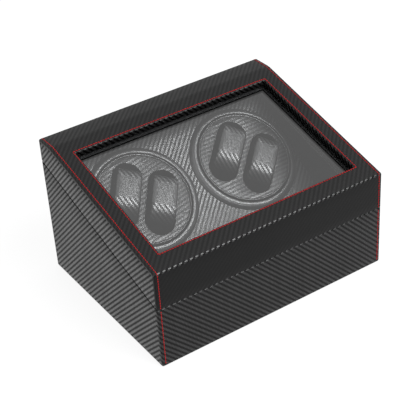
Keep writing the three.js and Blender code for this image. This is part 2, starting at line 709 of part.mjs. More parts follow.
// A leaf above (up = 1) or below (up = -1) the pin.
function hingeLeaf(x, up, knuckles) {
  const heights = (pair) => pair.map((h) => HINGE_Z + up * h).sort((low, high) => low - high);
  const plate = box(x - LEAF_HALF_W, x + LEAF_HALF_W, LEAF_IN, LEAF_OUT, ...heights(LEAF_HEIGHTS));
  const barrels = knuckles.flatMap(([x0, x1]) => [
    box(x + x0, x + x1, LEAF_IN, HINGE_Y, ...heights(ARM_HEIGHTS)),
    hingeRod(KNUCKLE_R, x + x0, x + x1, 16),
  ]);
  return cut(join(plate, ...barrels), hingeRod(BORE_R, x - 30, x + 30, 12));
}

for (const [side, sign] of SIDES) {
  const x = sign * HINGE_X;
  add(base, `hinge_base_leaf_${side}`, hingeLeaf(x, -1, BASE_KNUCKLES), NICKEL);
  add(lid, `hinge_lid_leaf_${side}`, hingeLeaf(x, 1, LID_KNUCKLES), NICKEL);
  const pinEnd = LEAF_HALF_W + 1;
  add(base, `hinge_pin_${side}`, hingeRod(PIN_R, x - pinEnd, x + pinEnd, 12), STEEL);
}

export default root;
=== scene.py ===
"""A watch winder: a wedge-shaped box in carbon-weave leatherette with a windowed, hinged lid.

Inside, a sloping deck carries two turntables with two watch cushions each.
X runs across the width (left is -X), +Y points to the rear, where the hinges and the
controls are, and Z is up with the box standing on z = 0. The box is centred on x = y = 0.
Sizes are in mm unless a comment says metres.
"""

import math

import bmesh
import bpy
import numpy as np
from mathutils import Matrix, Vector


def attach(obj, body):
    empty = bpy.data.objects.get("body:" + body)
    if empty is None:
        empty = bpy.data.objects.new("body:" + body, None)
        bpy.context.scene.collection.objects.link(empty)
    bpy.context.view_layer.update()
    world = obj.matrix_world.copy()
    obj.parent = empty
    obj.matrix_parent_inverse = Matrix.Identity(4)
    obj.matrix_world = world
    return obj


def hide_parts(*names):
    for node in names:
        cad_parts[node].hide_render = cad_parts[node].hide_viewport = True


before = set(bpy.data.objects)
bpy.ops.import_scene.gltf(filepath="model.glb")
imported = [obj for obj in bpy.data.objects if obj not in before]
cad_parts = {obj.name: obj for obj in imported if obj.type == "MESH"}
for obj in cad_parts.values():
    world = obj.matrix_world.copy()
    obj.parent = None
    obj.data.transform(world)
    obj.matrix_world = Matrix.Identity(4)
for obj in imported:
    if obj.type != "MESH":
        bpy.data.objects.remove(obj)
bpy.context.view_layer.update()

MM = 0.001
scene = bpy.context.scene

# ------------------------------------------------------------------ driving dimensions
WIDTH, DEPTH = 330.0, 255.0
HALF_X, HALF_Y = WIDTH / 2, DEPTH / 2
SEAM_FRONT_Z, SEAM_REAR_Z = 83.0, 160.0  # where the lid meets the base
TOP_FRONT_Z, TOP_REAR_Z = 133.5, 191.0
TOP_SLOPE = 0.2547
TOP_ANGLE = math.atan(TOP_SLOPE)
# The window: half its width, and its front and rear edges measured up the lid's slope.
WIN_X, WIN_T0, WIN_T1 = 141.0, 26.0, 211.5
DECK_ANGLE = math.radians(36)
# Turntable centres, and the two round-ended slots in each turntable.
TABLE_X, TABLE_Y, TABLE_Z = 77.0, 38.2, 112.0
SLOT_LENGTH, SLOT_WIDTH, SLOT_OFFSET = 90.0, 38.5, 23.1
SLOT_ANGLE = {"left": 34.0, "right": 43.5}
SLOTS = (("a", -SLOT_OFFSET), ("b", SLOT_OFFSET))
SIDES = (("left", -1), ("right", 1))
# Watch cushions: the top and bottom are heights off the turntable's plane.
CUSHION_LENGTH, CUSHION_WIDTH, CUSHION_TOP, CUSHION_BOTTOM = 64.0, 32.5, 18.0, -35.5

ALONG_Y = (0, 1, 0)
DECK_NORMAL = Vector((0, -math.sin(DECK_ANGLE), math.cos(DECK_ANGLE)))
DECK_UP = Vector((0, math.cos(DECK_ANGLE), math.sin(DECK_ANGLE)))
TOP_UP = Vector((0, math.cos(TOP_ANGLE), math.sin(TOP_ANGLE)))
TOP_NORMAL = Vector((0, -math.sin(TOP_ANGLE), math.cos(TOP_ANGLE)))
SEAM_NORMAL = Vector((0, -(SEAM_REAR_Z - SEAM_FRONT_Z) / DEPTH, 1)).normalized()


def seam_z(y):
    return SEAM_FRONT_Z + (SEAM_REAR_Z - SEAM_FRONT_Z) / DEPTH * (y + HALF_Y)


def slope_z(y, inset):
    """Height of the lid's slope, inset below its surface."""
    return TOP_FRONT_Z - inset / math.cos(TOP_ANGLE) + TOP_SLOPE * (y + HALF_Y)


def bend_y(inset=0.0):
    """Where the slope meets the level rear part of the lid."""
    rise = TOP_REAR_Z - inset - TOP_FRONT_Z + inset / math.cos(TOP_ANGLE)
    return rise / TOP_SLOPE - HALF_Y


def slope_point(x, t):
    return Vector((x, -HALF_Y, TOP_FRONT_Z)) + TOP_UP * t


def table_axes(side, sx):
    """A turntable's centre, and the directions along and across its slots."""
    angle = math.radians(SLOT_ANGLE[side])
    along = Vector((math.sin(angle), 0, 0)) + DECK_UP * math.cos(angle)
    across = Vector((math.cos(angle), 0, 0)) - DECK_UP * math.sin(angle)
    return Vector((sx * TABLE_X, TABLE_Y, TABLE_Z)), along, across


# ------------------------------------------------------------------ shader node helpers
class Value:
    """A number inside a node tree. Arithmetic on it adds Math nodes."""

    def __init__(self, nodes, socket):
        self.nodes = nodes
        self.socket = socket

    def __add__(self, other):
        return self.nodes.math("ADD", self, other)

    def __radd__(self, other):
        return self.nodes.math("ADD", other, self)

    def __sub__(self, other):
        return self.nodes.math("SUBTRACT", self, other)

    def __rsub__(self, other):
        return self.nodes.math("SUBTRACT", other, self)

    def __mul__(self, other):
        return self.nodes.math("MULTIPLY", self, other)

    def __rmul__(self, other):
        return self.nodes.math("MULTIPLY", other, self)

    def __truediv__(self, other):
        return self.nodes.math("DIVIDE", self, other)

    def __pow__(self, other):
        return self.nodes.math("POWER", self, other)

    def __abs__(self):
        return self.nodes.math("ABSOLUTE", self)


class Nodes:
    """Adds nodes to a shader tree."""

    def __init__(self, tree):
        self.tree = tree

    def add(self, kind, **props):
        node = self.tree.nodes.new(kind)
        for key, value in props.items():
            setattr(node, key, value)
        return node

    def put(self, socket, value):
        """Links or sets an input. None leaves it alone."""
        if isinstance(value, Value):
            value = value.socket
        if isinstance(value, bpy.types.NodeSocket):
            self.tree.links.new(value, socket)
        elif value is not None:
            socket.default_value = value

    def math(self, operation, *values, clamp=False):
        node = self.add("ShaderNodeMath", operation=operation, use_clamp=clamp)
        for socket, value in zip(node.inputs, values):
            self.put(socket, value)
        return Value(self, node.outputs[0])

    def vector_math(self, operation, first, second=None, scale=None):
        node = self.add("ShaderNodeVectorMath", operation=operation)
        self.put(node.inputs[0], first)
        self.put(node.inputs[1], second)
        if scale is not None:
            node.inputs["Scale"].default_value = scale
        return node.outputs[0]

    def dot(self, vector, axis, scale=1):
        """A vector's length along an axis. A scale of 1000 turns metres into mm."""
        node = self.add("ShaderNodeVectorMath", operation="DOT_PRODUCT")
        self.put(node.inputs[0], vector)
        if not isinstance(axis, bpy.types.NodeSocket):
            axis = tuple(part * scale for part in axis)
        self.put(node.inputs[1], axis)
        return Value(self, node.outputs["Value"])

    def blend(self, kind, output, factor, low, high, first_input):
        node = self.add("ShaderNodeMix", data_type=kind)
        self.put(node.inputs["Factor"], factor)
        self.put(node.inputs[first_input], low)
        self.put(node.inputs[first_input + 1], high)
        return node.outputs[output]

    def mix(self, factor, low, high):
        """Mixes two colours."""
        return self.blend("RGBA", 2, factor, low, high, first_input=6)

    def lerp(self, factor, low, high):
        """Mixes two numbers."""
        return Value(self, self.blend("FLOAT", 0, factor, low, high, first_input=2))

    def smoothstep(self, value, low, high, to_low=0.0, to_high=1.0):
        node = self.add("ShaderNodeMapRange", interpolation_type="SMOOTHSTEP")
        self.put(node.inputs["Value"], value)
        node.inputs["From Min"].default_value = low
        node.inputs["From Max"].default_value = high
        node.inputs["To Min"].default_value = to_low
        node.inputs["To Max"].default_value = to_high
        return Value(self, node.outputs[0])

    def position(self):
        return self.add("ShaderNodeTexCoord").outputs["Object"]

    def to_object(self, vector):
        node = self.add(
            "ShaderNodeVectorTransform",
            vector_type="VECTOR", convert_from="WORLD", convert_to="OBJECT",
        )
        self.put(node.inputs[0], vector)
        return node.outputs[0]

    def split(self, vector):
        node = self.add("ShaderNodeSeparateXYZ")
        self.put(node.inputs[0], vector)
        return [Value(self, socket) for socket in node.outputs]

    def combine(self, x, y):
        node = self.add("ShaderNodeCombineXYZ")
        self.put(node.inputs[0], x)
        self.put(node.inputs[1], y)
        return node.outputs[0]

    def mapping(self, **inputs):
        node = self.add("ShaderNodeMapping")
        for key, value in inputs.items():
            node.inputs[key].default_value = value
        self.put(node.inputs["Vector"], self.position())
        return node.outputs[0]

    def noise(self, scale, detail=3.0, rough=0.5, vector=None):
        node = self.add("ShaderNodeTexNoise")
        self.put(node.inputs["Vector"], self.position() if vector is None else vector)
        node.inputs["Scale"].default_value = scale
        node.inputs["Detail"].default_value = detail
        node.inputs["Roughness"].default_value = rough
        return Value(self, node.outputs["Fac"])

    def bump(self, height, distance, strength, normal=None):
        """distance is in metres."""
        node = self.add("ShaderNodeBump")
        node.inputs["Strength"].default_value = strength
        node.inputs["Distance"].default_value = distance
        self.put(node.inputs["Height"], height)
        self.put(node.inputs["Normal"], normal)
        return node.outputs["Normal"]

    def is_camera_ray(self):
        return Value(self, self.add("ShaderNodeLightPath").outputs["Is Camera Ray"])


class Mat(Nodes):
    """A new material with an empty node tree and an output."""

    def __init__(self, name):
        self.material = bpy.data.materials.new(name)
        self.material.use_nodes = True
        super().__init__(self.material.node_tree)
        self.tree.nodes.clear()
        self.output = self.add("ShaderNodeOutputMaterial")

    def surface(self, socket):
        self.put(self.output.inputs["Surface"], socket)
        return self.material

    def principled(self, **inputs):
        """Ends the material in a Principled shader. Underscores in names stand for spaces."""
        node = self.add("ShaderNodeBsdfPrincipled")
        for key, value in inputs.items():
            self.put(node.inputs[key.replace("_", " ")], value)
        return self.surface(node.outputs[0])


def grey(level):
    """A grey with a trace of blue."""
    return (level, level, level * 1.03, 1)


# ------------------------------------------------------------------ carbon weave
TOW_WIDTH = 1.82


def twill_group():
    """A 2/2 twill from a vector in mm: which tow is on top, its height and its random shade."""
    group = bpy.data.node_groups.new("twill", "ShaderNodeTree")
    group.interface.new_socket("Vector", in_out="INPUT", socket_type="NodeSocketVector")
    for name in ("Warp", "Height", "Shade"):
        group.interface.new_socket(name, in_out="OUTPUT", socket_type="NodeSocketFloat")
    nodes = Nodes(group)
    source = nodes.add("NodeGroupInput")
    result = nodes.add("NodeGroupOutput")
    across, along, _ = nodes.split(source.outputs[0])
    across = across / TOW_WIDTH
    along = along / TOW_WIDTH
    column, row = nodes.math("FLOOR", across), nodes.math("FLOOR", along)
    off_across = nodes.math("FRACT", across) - 0.5
    off_along = nodes.math("FRACT", along) - 0.5
    step = nodes.math("FLOORED_MODULO", column - row, 4.0)
    warp = nodes.math("LESS_THAN", step, 1.5)
    # Each tow is a parabola across its own width.
    crown_across = 1.0 - 3.2 * (off_across * off_across)
    crown_along = 1.0 - 3.2 * (off_along * off_along)
    height = nodes.lerp(warp, crown_along, crown_across)
    # The offset keeps the weft's random shades apart from the warp's.
    tow = nodes.lerp(warp, row + 911.0, column)
    shade = nodes.add("ShaderNodeTexWhiteNoise", noise_dimensions="1D")
    nodes.put(shade.inputs["W"], tow)
    nodes.put(result.inputs["Warp"], warp)
    nodes.put(result.inputs["Height"], height)
    nodes.put(result.inputs["Shade"], shade.outputs["Value"])
    return group


TWILL = twill_group()


def plane_coords(mat, across, along):
    """Object coordinates resolved along two axes, in mm."""
    place = mat.position()
    return mat.combine(mat.dot(place, across, 1000), mat.dot(place, along, 1000))


def wrapped_coords(mat, across, along, up, centre, half, radius, top):
    """Coordinates of a sheet laid over a block.

    It is flat for half a length each way, then rolled down each end.
    """
    place = mat.position()
    side = mat.dot(place, across, 1000)
    scaled = mat.vector_math("MULTIPLY", place, (1000, 1000, 1000))
    offset = mat.vector_math("SUBTRACT", scaled, tuple(centre))
    distance = mat.dot(offset, along)
    height = mat.dot(offset, up) - (top - radius)
    far = abs(distance)
    over = mat.math("MAXIMUM", far - half, 0.0)
    turn = mat.math("ARCTAN2", over, mat.math("MAXIMUM", height, 0.001))
    run = mat.math("MINIMUM", far, half) + turn * radius
    run = run + mat.math("MAXIMUM", 0.0 - height, 0.0)
    return mat.combine(side, run * mat.math("SIGN", distance))


def leather(name, dark, light, spec, rough, plane=None, wrap=None, painted_sheen=None, contrast=None):
    """Carbon-weave leatherette, mapped by the Weave UV map, by a plane or by a wrapped sheet.

    dark and light are greys, and spec and rough are pairs: each goes from the weft to the warp.
    The sheen option paints an even sheen: inside half a length of a centre, the weave gives way to
    one level.
    contrast: the weave's contrast between two places (low, high), about a level, painted to follow
    the light.
    Both are measured along the second axis.
    """
    mat = Mat(name)
    if wrap is not None:
        vector = wrapped_coords(mat, **wrap)
    elif plane is not None:
        vector = plane_coords(mat, *plane)
    else:
        vector = mat.add("ShaderNodeUVMap", uv_map="Weave").outputs[0]
    twill = mat.add("ShaderNodeGroup", node_tree=TWILL)
    mat.put(twill.inputs[0], vector)
    warp, height, shade = [Value(mat, twill.outputs[key]) for key in ("Warp", "Height", "Shade")]
    # Each tow is a slightly different grey. Its crown is painted lighter than its sides, and the
    # warp lighter than the weft: painted sheen for how the tows catch the light.
    level = (0.84 + shade * 0.32) * (0.5 + height * 0.5)
    weave = mat.math("MULTIPLY", warp, level, clamp=True)
    # Painted sheen: an even level in place of the weave, where the surface catches the light
    # evenly.
    if painted_sheen is not None:
        place = mat.split(vector)[1]
        edge, soft = painted_sheen["half"], 1.5
        outside = mat.smoothstep(abs(place - painted_sheen["centre"]), edge - soft, edge + soft)
        weave = mat.lerp(outside, painted_sheen["level"] + weave * 0.08, weave)
        height = height * outside
    # Painted light and shade: the weave's contrast grows or fades from place to place.
    if contrast is not None:
        place = mat.split(vector)[1]
        ramp = mat.smoothstep(place, contrast["low"], contrast["high"])
        gain = mat.lerp(ramp, contrast["at_low"], contrast["at_high"])
        middle = contrast["level"]
        weave = mat.math("ADD", middle, (weave - middle) * gain, clamp=True)
        height = height * gain
    patches = mat.noise(9.0, detail=2.0)
    colour = mat.mix(weave, grey(dark), grey(light))
    tone = mat.add("ShaderNodeHueSaturation")
    mat.put(tone.inputs["Value"], 0.85 + patches * 0.3)
    mat.put(tone.inputs["Color"], colour)
    specular = mat.lerp(weave, *spec)
    roughness = mat.lerp(weave, *rough) + mat.noise(420.0, detail=2.0) * 0.06
    waves = mat.bump(mat.noise(28.0), distance=0.0002, strength=0.5)
    return mat.principled(
        Base_Color=tone.outputs[0],
        Specular_IOR_Level=specular,
        Roughness=roughness,
        Normal=mat.bump(height, distance=0.00005, strength=0.1, normal=waves),
    )


# ------------------------------------------------------------------ other materials
def plastic(name, colour, rough, rough_noise=0.05, grain=900.0, bump=0.00002, spec=0.5):
    """grain is the scale of the surface noise, and bump its depth in metres."""
    mat = Mat(name)
    dark = tuple(part * 0.8 for part in colour[:3]) + (1,)
    return mat.principled(
        Base_Color=mat.mix(mat.noise(45.0, detail=4.0), dark, colour),
        Roughness=rough + mat.noise(160.0) * rough_noise,
        Specular_IOR_Level=spec,
        Coat_Roughness=0.08,
        Normal=mat.bump(mat.noise(grain, detail=2.0), bump, strength=0.5),
    )


def metal(name, colour, rough, stretch=(1, 1, 30), rough_noise=0.12):
    mat = Mat(name)
    brushing = mat.noise(180.0, vector=mat.mapping(Scale=stretch))
    dark = tuple(part * 0.9 for part in colour) + (1,)
    return mat.principled(
        Base_Color=mat.mix(mat.noise(30.0), dark, colour + (1,)),
        Metallic=1.0,
        Roughness=rough + brushing * rough_noise,
        Normal=mat.bump(brushing, distance=0.00001, strength=0.4),
    )


def velvet(name, level, sheen=0.25):
    mat = Mat(name)
    pile = mat.noise(700.0, detail=4.0, rough=0.7)
    nap = mat.noise(22.0, detail=2.0)
    return mat.principled(
        Base_Color=mat.mix(pile * nap, grey(level * 0.5), grey(level * 2.0)),
        Roughness=0.95,
        Specular_IOR_Level=0.1,
        Sheen_Weight=sheen,
        Sheen_Roughness=0.5,
        Normal=mat.bump(pile, distance=0.0002, strength=0.6),
    )


def above_rim(mat, low, high):
    """0 below one height along the seam's normal and 1 above another, both in mm."""
    return mat.smoothstep(mat.dot(mat.position(), SEAM_NORMAL, 1000), low, high)


def lining(name, level, rim, rim_highlight_level):
    """Flocked lining whose wrapped rim is smooth and glossy, and painted lighter as a highlight.
    rim is (low, high) in mm.
    """
    mat = Mat(name)
    pile = mat.noise(700.0, detail=4.0, rough=0.7)
    # The rim is glossier, and painted a lighter grey as a highlight.
    smooth_rim_and_highlight = above_rim(mat, *rim)
    flock = mat.mix(pile, grey(level * 0.5), grey(level * 1.5))
    return mat.principled(
        Base_Color=mat.mix(smooth_rim_and_highlight, flock, grey(rim_highlight_level)),
        Roughness=mat.lerp(smooth_rim_and_highlight, 0.95, 0.45),
        Specular_IOR_Level=mat.lerp(smooth_rim_and_highlight, 0.03, 0.5),
        Normal=mat.bump(pile, distance=0.0001, strength=0.4),
    )


def retainer_board(name):
    """Black board. Its top face, under the sheet, is painted grey as light falling on it from
    above: painted light.
    """
    mat = Mat(name)
    normal = mat.to_object(mat.add("ShaderNodeNewGeometry").outputs["True Normal"])
    top = mat.math("GREATER_THAN", mat.dot(normal, TOP_NORMAL), 0.5)
    grain = mat.noise(500.0)
    black = mat.mix(grain, grey(0.001), grey(0.002))
    # The top face's grey is painted light; the board itself is black.
    painted_top_light = mat.mix(grain, grey(0.009), grey(0.013))
    return mat.principled(
        Base_Color=mat.mix(top, black, painted_top_light),
        Roughness=0.8,
        Specular_IOR_Level=top * 0.2,
        Normal=mat.bump(grain, distance=0.00005, strength=0.4),
    )


def fibreboard(name, rim=None):
    """Raw board. Above the rim (low, high in mm) the leatherette glued over the edge covers it."""
    mat = Mat(name)
    clumps = mat.noise(260.0, detail=5.0, rough=0.7)
    fibres = mat.noise(1400.0, detail=2.0)
    colour = mat.mix((clumps + fibres) * 0.5, (0.16, 0.1, 0.055, 1), (0.36, 0.25, 0.15, 1))
    if rim is not None:
        colour = mat.mix(above_rim(mat, *rim), colour, grey(0.003))
    return mat.principled(
        Base_Color=colour,
        Roughness=0.85,
        Normal=mat.bump(fibres, distance=0.0001, strength=0.5),
    )


def circuit(name):
    mat = Mat(name)
    vector = mat.mapping(Rotation=(math.pi / 2, 0, 0))
    brick = mat.add("ShaderNodeTexBrick", offset=0.37, squash=0.6)
    mat.put(brick.inputs["Vector"], vector)
    brick.inputs["Scale"].default_value = 90.0
    brick.inputs["Mortar Size"].default_value = 0.03
    brick.inputs["Color1"].default_value = (0.012, 0.11, 0.035, 1)
    brick.inputs["Color2"].default_value = (0.02, 0.15, 0.05, 1)
    brick.inputs["Mortar"].default_value = (0.09, 0.3, 0.1, 1)
    return mat.principled(
        Base_Color=brick.outputs["Color"],
        Roughness=0.35,
        Normal=mat.bump(brick.outputs["Fac"], distance=0.00005, strength=0.5),
    )


def thread(name):
    mat = Mat(name)
    wave = mat.add("ShaderNodeTexWave", wave_type="BANDS", bands_direction="DIAGONAL")
    mat.put(wave.inputs["Vector"], mat.position())
    wave.inputs["Scale"].default_value = 900.0
    twist = wave.outputs["Fac"]
    return mat.principled(
        Base_Color=mat.mix(twist, (0.17, 0.0015, 0.0025, 1), (0.3, 0.003, 0.005, 1)),
        Roughness=0.65,
        Specular_IOR_Level=0.1,
        Normal=mat.bump(twist, distance=0.00008, strength=0.5),
    )


def sky(nodes, direction):
    """Brightness of the studio's white surround in a direction."""
    toward_bright = nodes.dot(direction, (-0.714, -0.378, 0.59))
    return nodes.smoothstep(toward_bright, -0.2, 0.2, to_low=1.0, to_high=1.12)


def acrylic(name):
    """Clear sheet. What is behind shows straight through.

    Its reflection is painted, as an emission that only camera rays see. Its mirror share is worked
    out from the surround's brightness in the mirrored direction, and is cut off where the mirrored
    ray would meet the wall of the opening above the sheet.
    """
    face_on = 0.045  # mirror share when looked at square on
    margin = 0.9  # the opening's wall stands this far outside the window's edge, in mm
    edge_gain = 600.0  # how sharply the reflection ends there, per metre
    mat = Mat(name)
    geometry = mat.add("ShaderNodeNewGeometry")
    incoming, normal = geometry.outputs["Incoming"], geometry.outputs["True Normal"]
    cosine = abs(mat.dot(incoming, normal))
    glance = mat.math("SUBTRACT", 1.0, cosine, clamp=True)
    share = mat.math("ADD", face_on, (1 - face_on) * glance**5.0, clamp=True)
    outgoing = mat.vector_math("SCALE", incoming, scale=-1.0)
    mirrored = mat.vector_math("REFLECT", outgoing, normal)
    light = sky(mat, mirrored)
    ray = mat.to_object(mirrored)
    corner = (0.0, -HALF_Y * MM, TOP_FRONT_Z * MM)
    offset = mat.vector_math("SUBTRACT", mat.position(), corner)

    place_x, ray_x = [mat.dot(vector, (1.0, 0.0, 0.0)) for vector in (offset, ray)]
    place_t, ray_t = [mat.dot(vector, TOP_UP) for vector in (offset, ray)]
    place_out, ray_out = [mat.dot(vector, TOP_NORMAL) for vector in (offset, ray)]
    # The underside's ray is bent inside the sheet, so it leaves as if it had started 9 mm down.
    down = mat.math("MINIMUM", 0.0 - place_out, 9.0 * MM)
    run = down / mat.math("MAXIMUM", ray_out, 0.05)
    exit_x = abs(place_x + ray_x * run)
    exit_t = abs((place_t + ray_t * run) - (WIN_T0 + WIN_T1) / 2 * MM)
    half_t = (WIN_T1 - WIN_T0) / 2
    open_x = mat.math("MULTIPLY", (WIN_X + margin) * MM - exit_x, edge_gain, clamp=True)
    open_t = mat.math("MULTIPLY", (half_t + margin) * MM - exit_t, edge_gain, clamp=True)
    upward = mat.math("GREATER_THAN", ray_out, 0.0)
    # Painted reflection: the surround's mirrored brightness times the mirror share, given out as
    # emission that only camera rays see.
    glow = (light * share) * ((open_x * open_t) * upward)
    glow = glow * mat.is_camera_ray()
    # Noise mottles the painted reflection a little.
    painted_reflection_mottle = mat.noise(60.0, detail=4.0)
    painted_reflection = mat.add("ShaderNodeEmission")
    mat.put(painted_reflection.inputs[1], glow * (0.98 + painted_reflection_mottle * 0.04))
    clear = mat.add("ShaderNodeBsdfTransparent")
    passed = mat.math("SUBTRACT", 1.0, share, clamp=True)
    tint = mat.add("ShaderNodeCombineColor")
    for socket, part in zip(tint.inputs, (0.985, 0.99, 0.992)):
        mat.put(socket, passed * part)
    mat.put(clear.inputs[0], tint.outputs[0])
    both = mat.add("ShaderNodeAddShader")
    mat.put(both.inputs[0], clear.outputs[0])
    mat.put(both.inputs[1], painted_reflection.outputs[0])
    return mat.surface(both.outputs[0])


# ------------------------------------------------------------------ the materials
# The leatherette is one material in several copies. Each copy's greys and weave contrast are set
# to how light falls on the faces it covers: painted light and shade.
LEATHER_SIDE = leather("leather_side", 0.002, 0.009, spec=(0.08, 0.62), rough=(0.5, 0.34))
LEATHER_FRONT = leather("leather_front", 0.002, 0.005, spec=(0.1, 0.34), rough=(0.5, 0.36))
LEATHER_LID_FRONT = leather(
    "leather_lid_front", 0.002, 0.0025, spec=(0.1, 0.115), rough=(0.46, 0.42)
)
LEATHER_LID = leather("leather_lid", 0.002, 0.0035, spec=(0.17, 0.25), rough=(0.44, 0.38))
LEATHER_ROLL = leather(
    "leather_rolled_edge", 0.002, 0.006, spec=(0.05, 0.45), rough=(0.42, 0.28)
)
LEATHER_WALL = leather(
    "leather_window_wall", 0.0008, 0.005, spec=(0.0, 0.35), rough=(0.6, 0.42)
)
LEATHER_DECK = leather(
    "leather_deck", 0.002, 0.015, spec=(0.16, 0.98), rough=(0.5, 0.36),
    plane=((1, 0, 0), DECK_UP),
    # Painted light and shade: the weave's contrast rises from 0.4 to 1.6 up the deck.
    contrast=dict(low=22.0, high=92.0, at_low=0.4, at_high=1.6, level=0.36),
)
LEATHER_DISC = {}
LEATHER_CUSHION = {}
for side, sx in SIDES:
    centre, along, across = table_axes(side, sx)
    LEATHER_DISC[side] = leather(
        "leather_disc_" + side, 0.0035, 0.011, spec=(0.27, 0.64), rough=(0.47, 0.36),
        plane=(across, along),
    )
    LEATHER_CUSHION[side] = leather(
        "leather_pillow_" + side, 0.003, 0.012, spec=(0.15, 0.95), rough=(0.46, 0.34),
        wrap=dict(
            across=-across, along=along, up=DECK_NORMAL,
            centre=centre, half=16.0, radius=16.0, top=CUSHION_TOP,
        ),
        # Painted light: an even sheen over the flat top. Painted shade: the weave fades to dark
        # down the lower end.
        painted_sheen=dict(centre=3.5, half=14.5, level=0.39),
        contrast=dict(low=-44.0, high=-24.0, at_low=0.0, at_high=1.0, level=0.06),
    )
# The cushions' flanks are near-black and matte.
CUSHION_FLANK = plastic(
    "cushion_flank_black", grey(0.004), 0.8, rough_noise=0.1, grain=1500.0, bump=0.00008, spec=0.06
)
VELVET = velvet("velvet_black", 0.006)
FELT = velvet("felt_black", 0.014, sheen=0.1)
RETAINER = retainer_board("retainer_board")
# Another copy of the leatherette with its own greys: painted light and shade like the others.
LEATHER_RIM = leather(
    "leather_turned_rim", 0.002, 0.006, spec=(0.05, 0.35), rough=(0.5, 0.4),
    plane=((1, 0, 0), (0, SEAM_NORMAL[2], -SEAM_NORMAL[1])),
)
# Heights of the seam and of the liner's rim, along the seam's normal.
SEAM_HEIGHT = SEAM_NORMAL.dot(Vector((0, -HALF_Y, SEAM_FRONT_Z)))
LINER_HEIGHT = SEAM_NORMAL.dot(Vector((0, -HALF_Y, SEAM_FRONT_Z + 3.0)))
BOARD_RIM = fibreboard("fibreboard_turned_edge", rim=(SEAM_HEIGHT - 8.5, SEAM_HEIGHT - 7.5))
# The liner's rim carries a painted highlight.
LINER = lining(
    "lining_flock", 0.004, rim=(LINER_HEIGHT - 0.9, LINER_HEIGHT - 0.5), rim_highlight_level=0.02
)
GLOSS = plastic("gloss_black", grey(0.006), 0.2, spec=0.6)
BEZEL = plastic("satin_black", grey(0.008), 0.34, rough_noise=0.04, spec=0.7)
POCKET = plastic("pocket_black", grey(0.0025), 0.85, rough_noise=0.1, spec=0.0)
BLACK = plastic("black_plastic", grey(0.018), 0.42, rough_noise=0.12)
KNOB = plastic("knob_black", grey(0.014), 0.34, rough_noise=0.1)
WHITE = plastic("marking_white", grey(0.75), 0.5)
NYLON = plastic("nylon_natural", (0.72, 0.69, 0.6, 1), 0.45)
STEEL = metal("steel_brushed", (0.62, 0.63, 0.65), 0.25)
NICKEL = metal("nickel_plate", (0.4, 0.4, 0.39), 0.24, stretch=(1, 1, 1), rough_noise=0.1)
BRONZE = metal("bronze", (0.62, 0.4, 0.18), 0.3)
BOARD = fibreboard("fibreboard")
PCB = circuit("circuit_board")
CABLE = plastic("cable_red", (0.42, 0.02, 0.02, 1), 0.45)
THREAD = thread("thread_red")
ACRYLIC = acrylic("clear_acrylic")


# ------------------------------------------------------------------ mesh helpers
def add_object(name, data):
    obj = bpy.data.objects.new(name, data)
    scene.collection.objects.link(obj)
    return obj


def evaluated_mesh(obj):
    graph = bpy.context.evaluated_depsgraph_get()
    return bpy.data.meshes.new_from_object(obj.evaluated_get(graph), depsgraph=graph)


def tidy(mesh, weld=0.0, dissolve=0.0):
    """Turns the faces outwards after welding close corners. Distances are in metres."""
    edit = bmesh.new()
    edit.from_mesh(mesh)
    if weld:
        bmesh.ops.remove_doubles(edit, verts=edit.verts, dist=weld)
    if dissolve:
        bmesh.ops.dissolve_degenerate(edit, edges=edit.edges, dist=dissolve)
    bmesh.ops.recalc_face_normals(edit, faces=edit.faces)
    edit.to_mesh(mesh)
    edit.free()


def raw_mesh(name, verts, faces):
    mesh = bpy.data.meshes.new(name)
    mesh.from_pydata([tuple(part * MM for part in vert) for vert in verts], [], faces)
    return mesh


def place(name, mesh, body, slot, replaces=None, sharp=38):
    """Adds a finished mesh to a moving body. Edges over sharp degrees stay crisp."""
    mesh.polygons.foreach_set("use_smooth", [True] * len(mesh.polygons))
    mesh.set_sharp_from_angle(angle=math.radians(sharp))
    obj = add_object(name, mesh)
    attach(obj, body)
    if replaces:
        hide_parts(replaces)


def build(
    name, verts, faces, body, materials, slot,
    replaces=None, uv=None, sharp=38, face_mats=None, merge=0.0,
):
    """verts and merge are in mm. uv is one (u, v) in mm for each vertex."""
    mesh = raw_mesh(name, verts, faces)
    if uv is not None:
        layer = mesh.uv_layers.new(name="Weave")
        index = np.zeros(len(mesh.loops), np.int32)
        mesh.loops.foreach_get("vertex_index", index)
        layer.data.foreach_set("uv", np.asarray(uv, np.float32)[index].ravel())
    for material in materials:
        mesh.materials.append(material)
    if face_mats is not None:
        mesh.polygons.foreach_set("material_index", face_mats)
    tidy(mesh, weld=merge * MM, dissolve=merge * MM)
    place(name, mesh, body, slot, replaces, sharp)


def band_faces(loops, n, closed=False):
    """Quads between successive loops of n vertices."""
    faces = []
    for k in range(loops if closed else loops - 1):
        k2 = (k + 1) % loops
        for i in range(n):
            i2 = (i + 1) % n
            faces.append((k * n + i, k * n + i2, k2 * n + i2, k2 * n + i))
    return faces


def loop_face(k, n):
    return tuple(k * n + i for i in range(n))


def sweep_faces(loops, n):
    """A band of loops with both ends capped."""
    return band_faces(loops, n) + [loop_face(0, n), loop_face(loops - 1, n)]


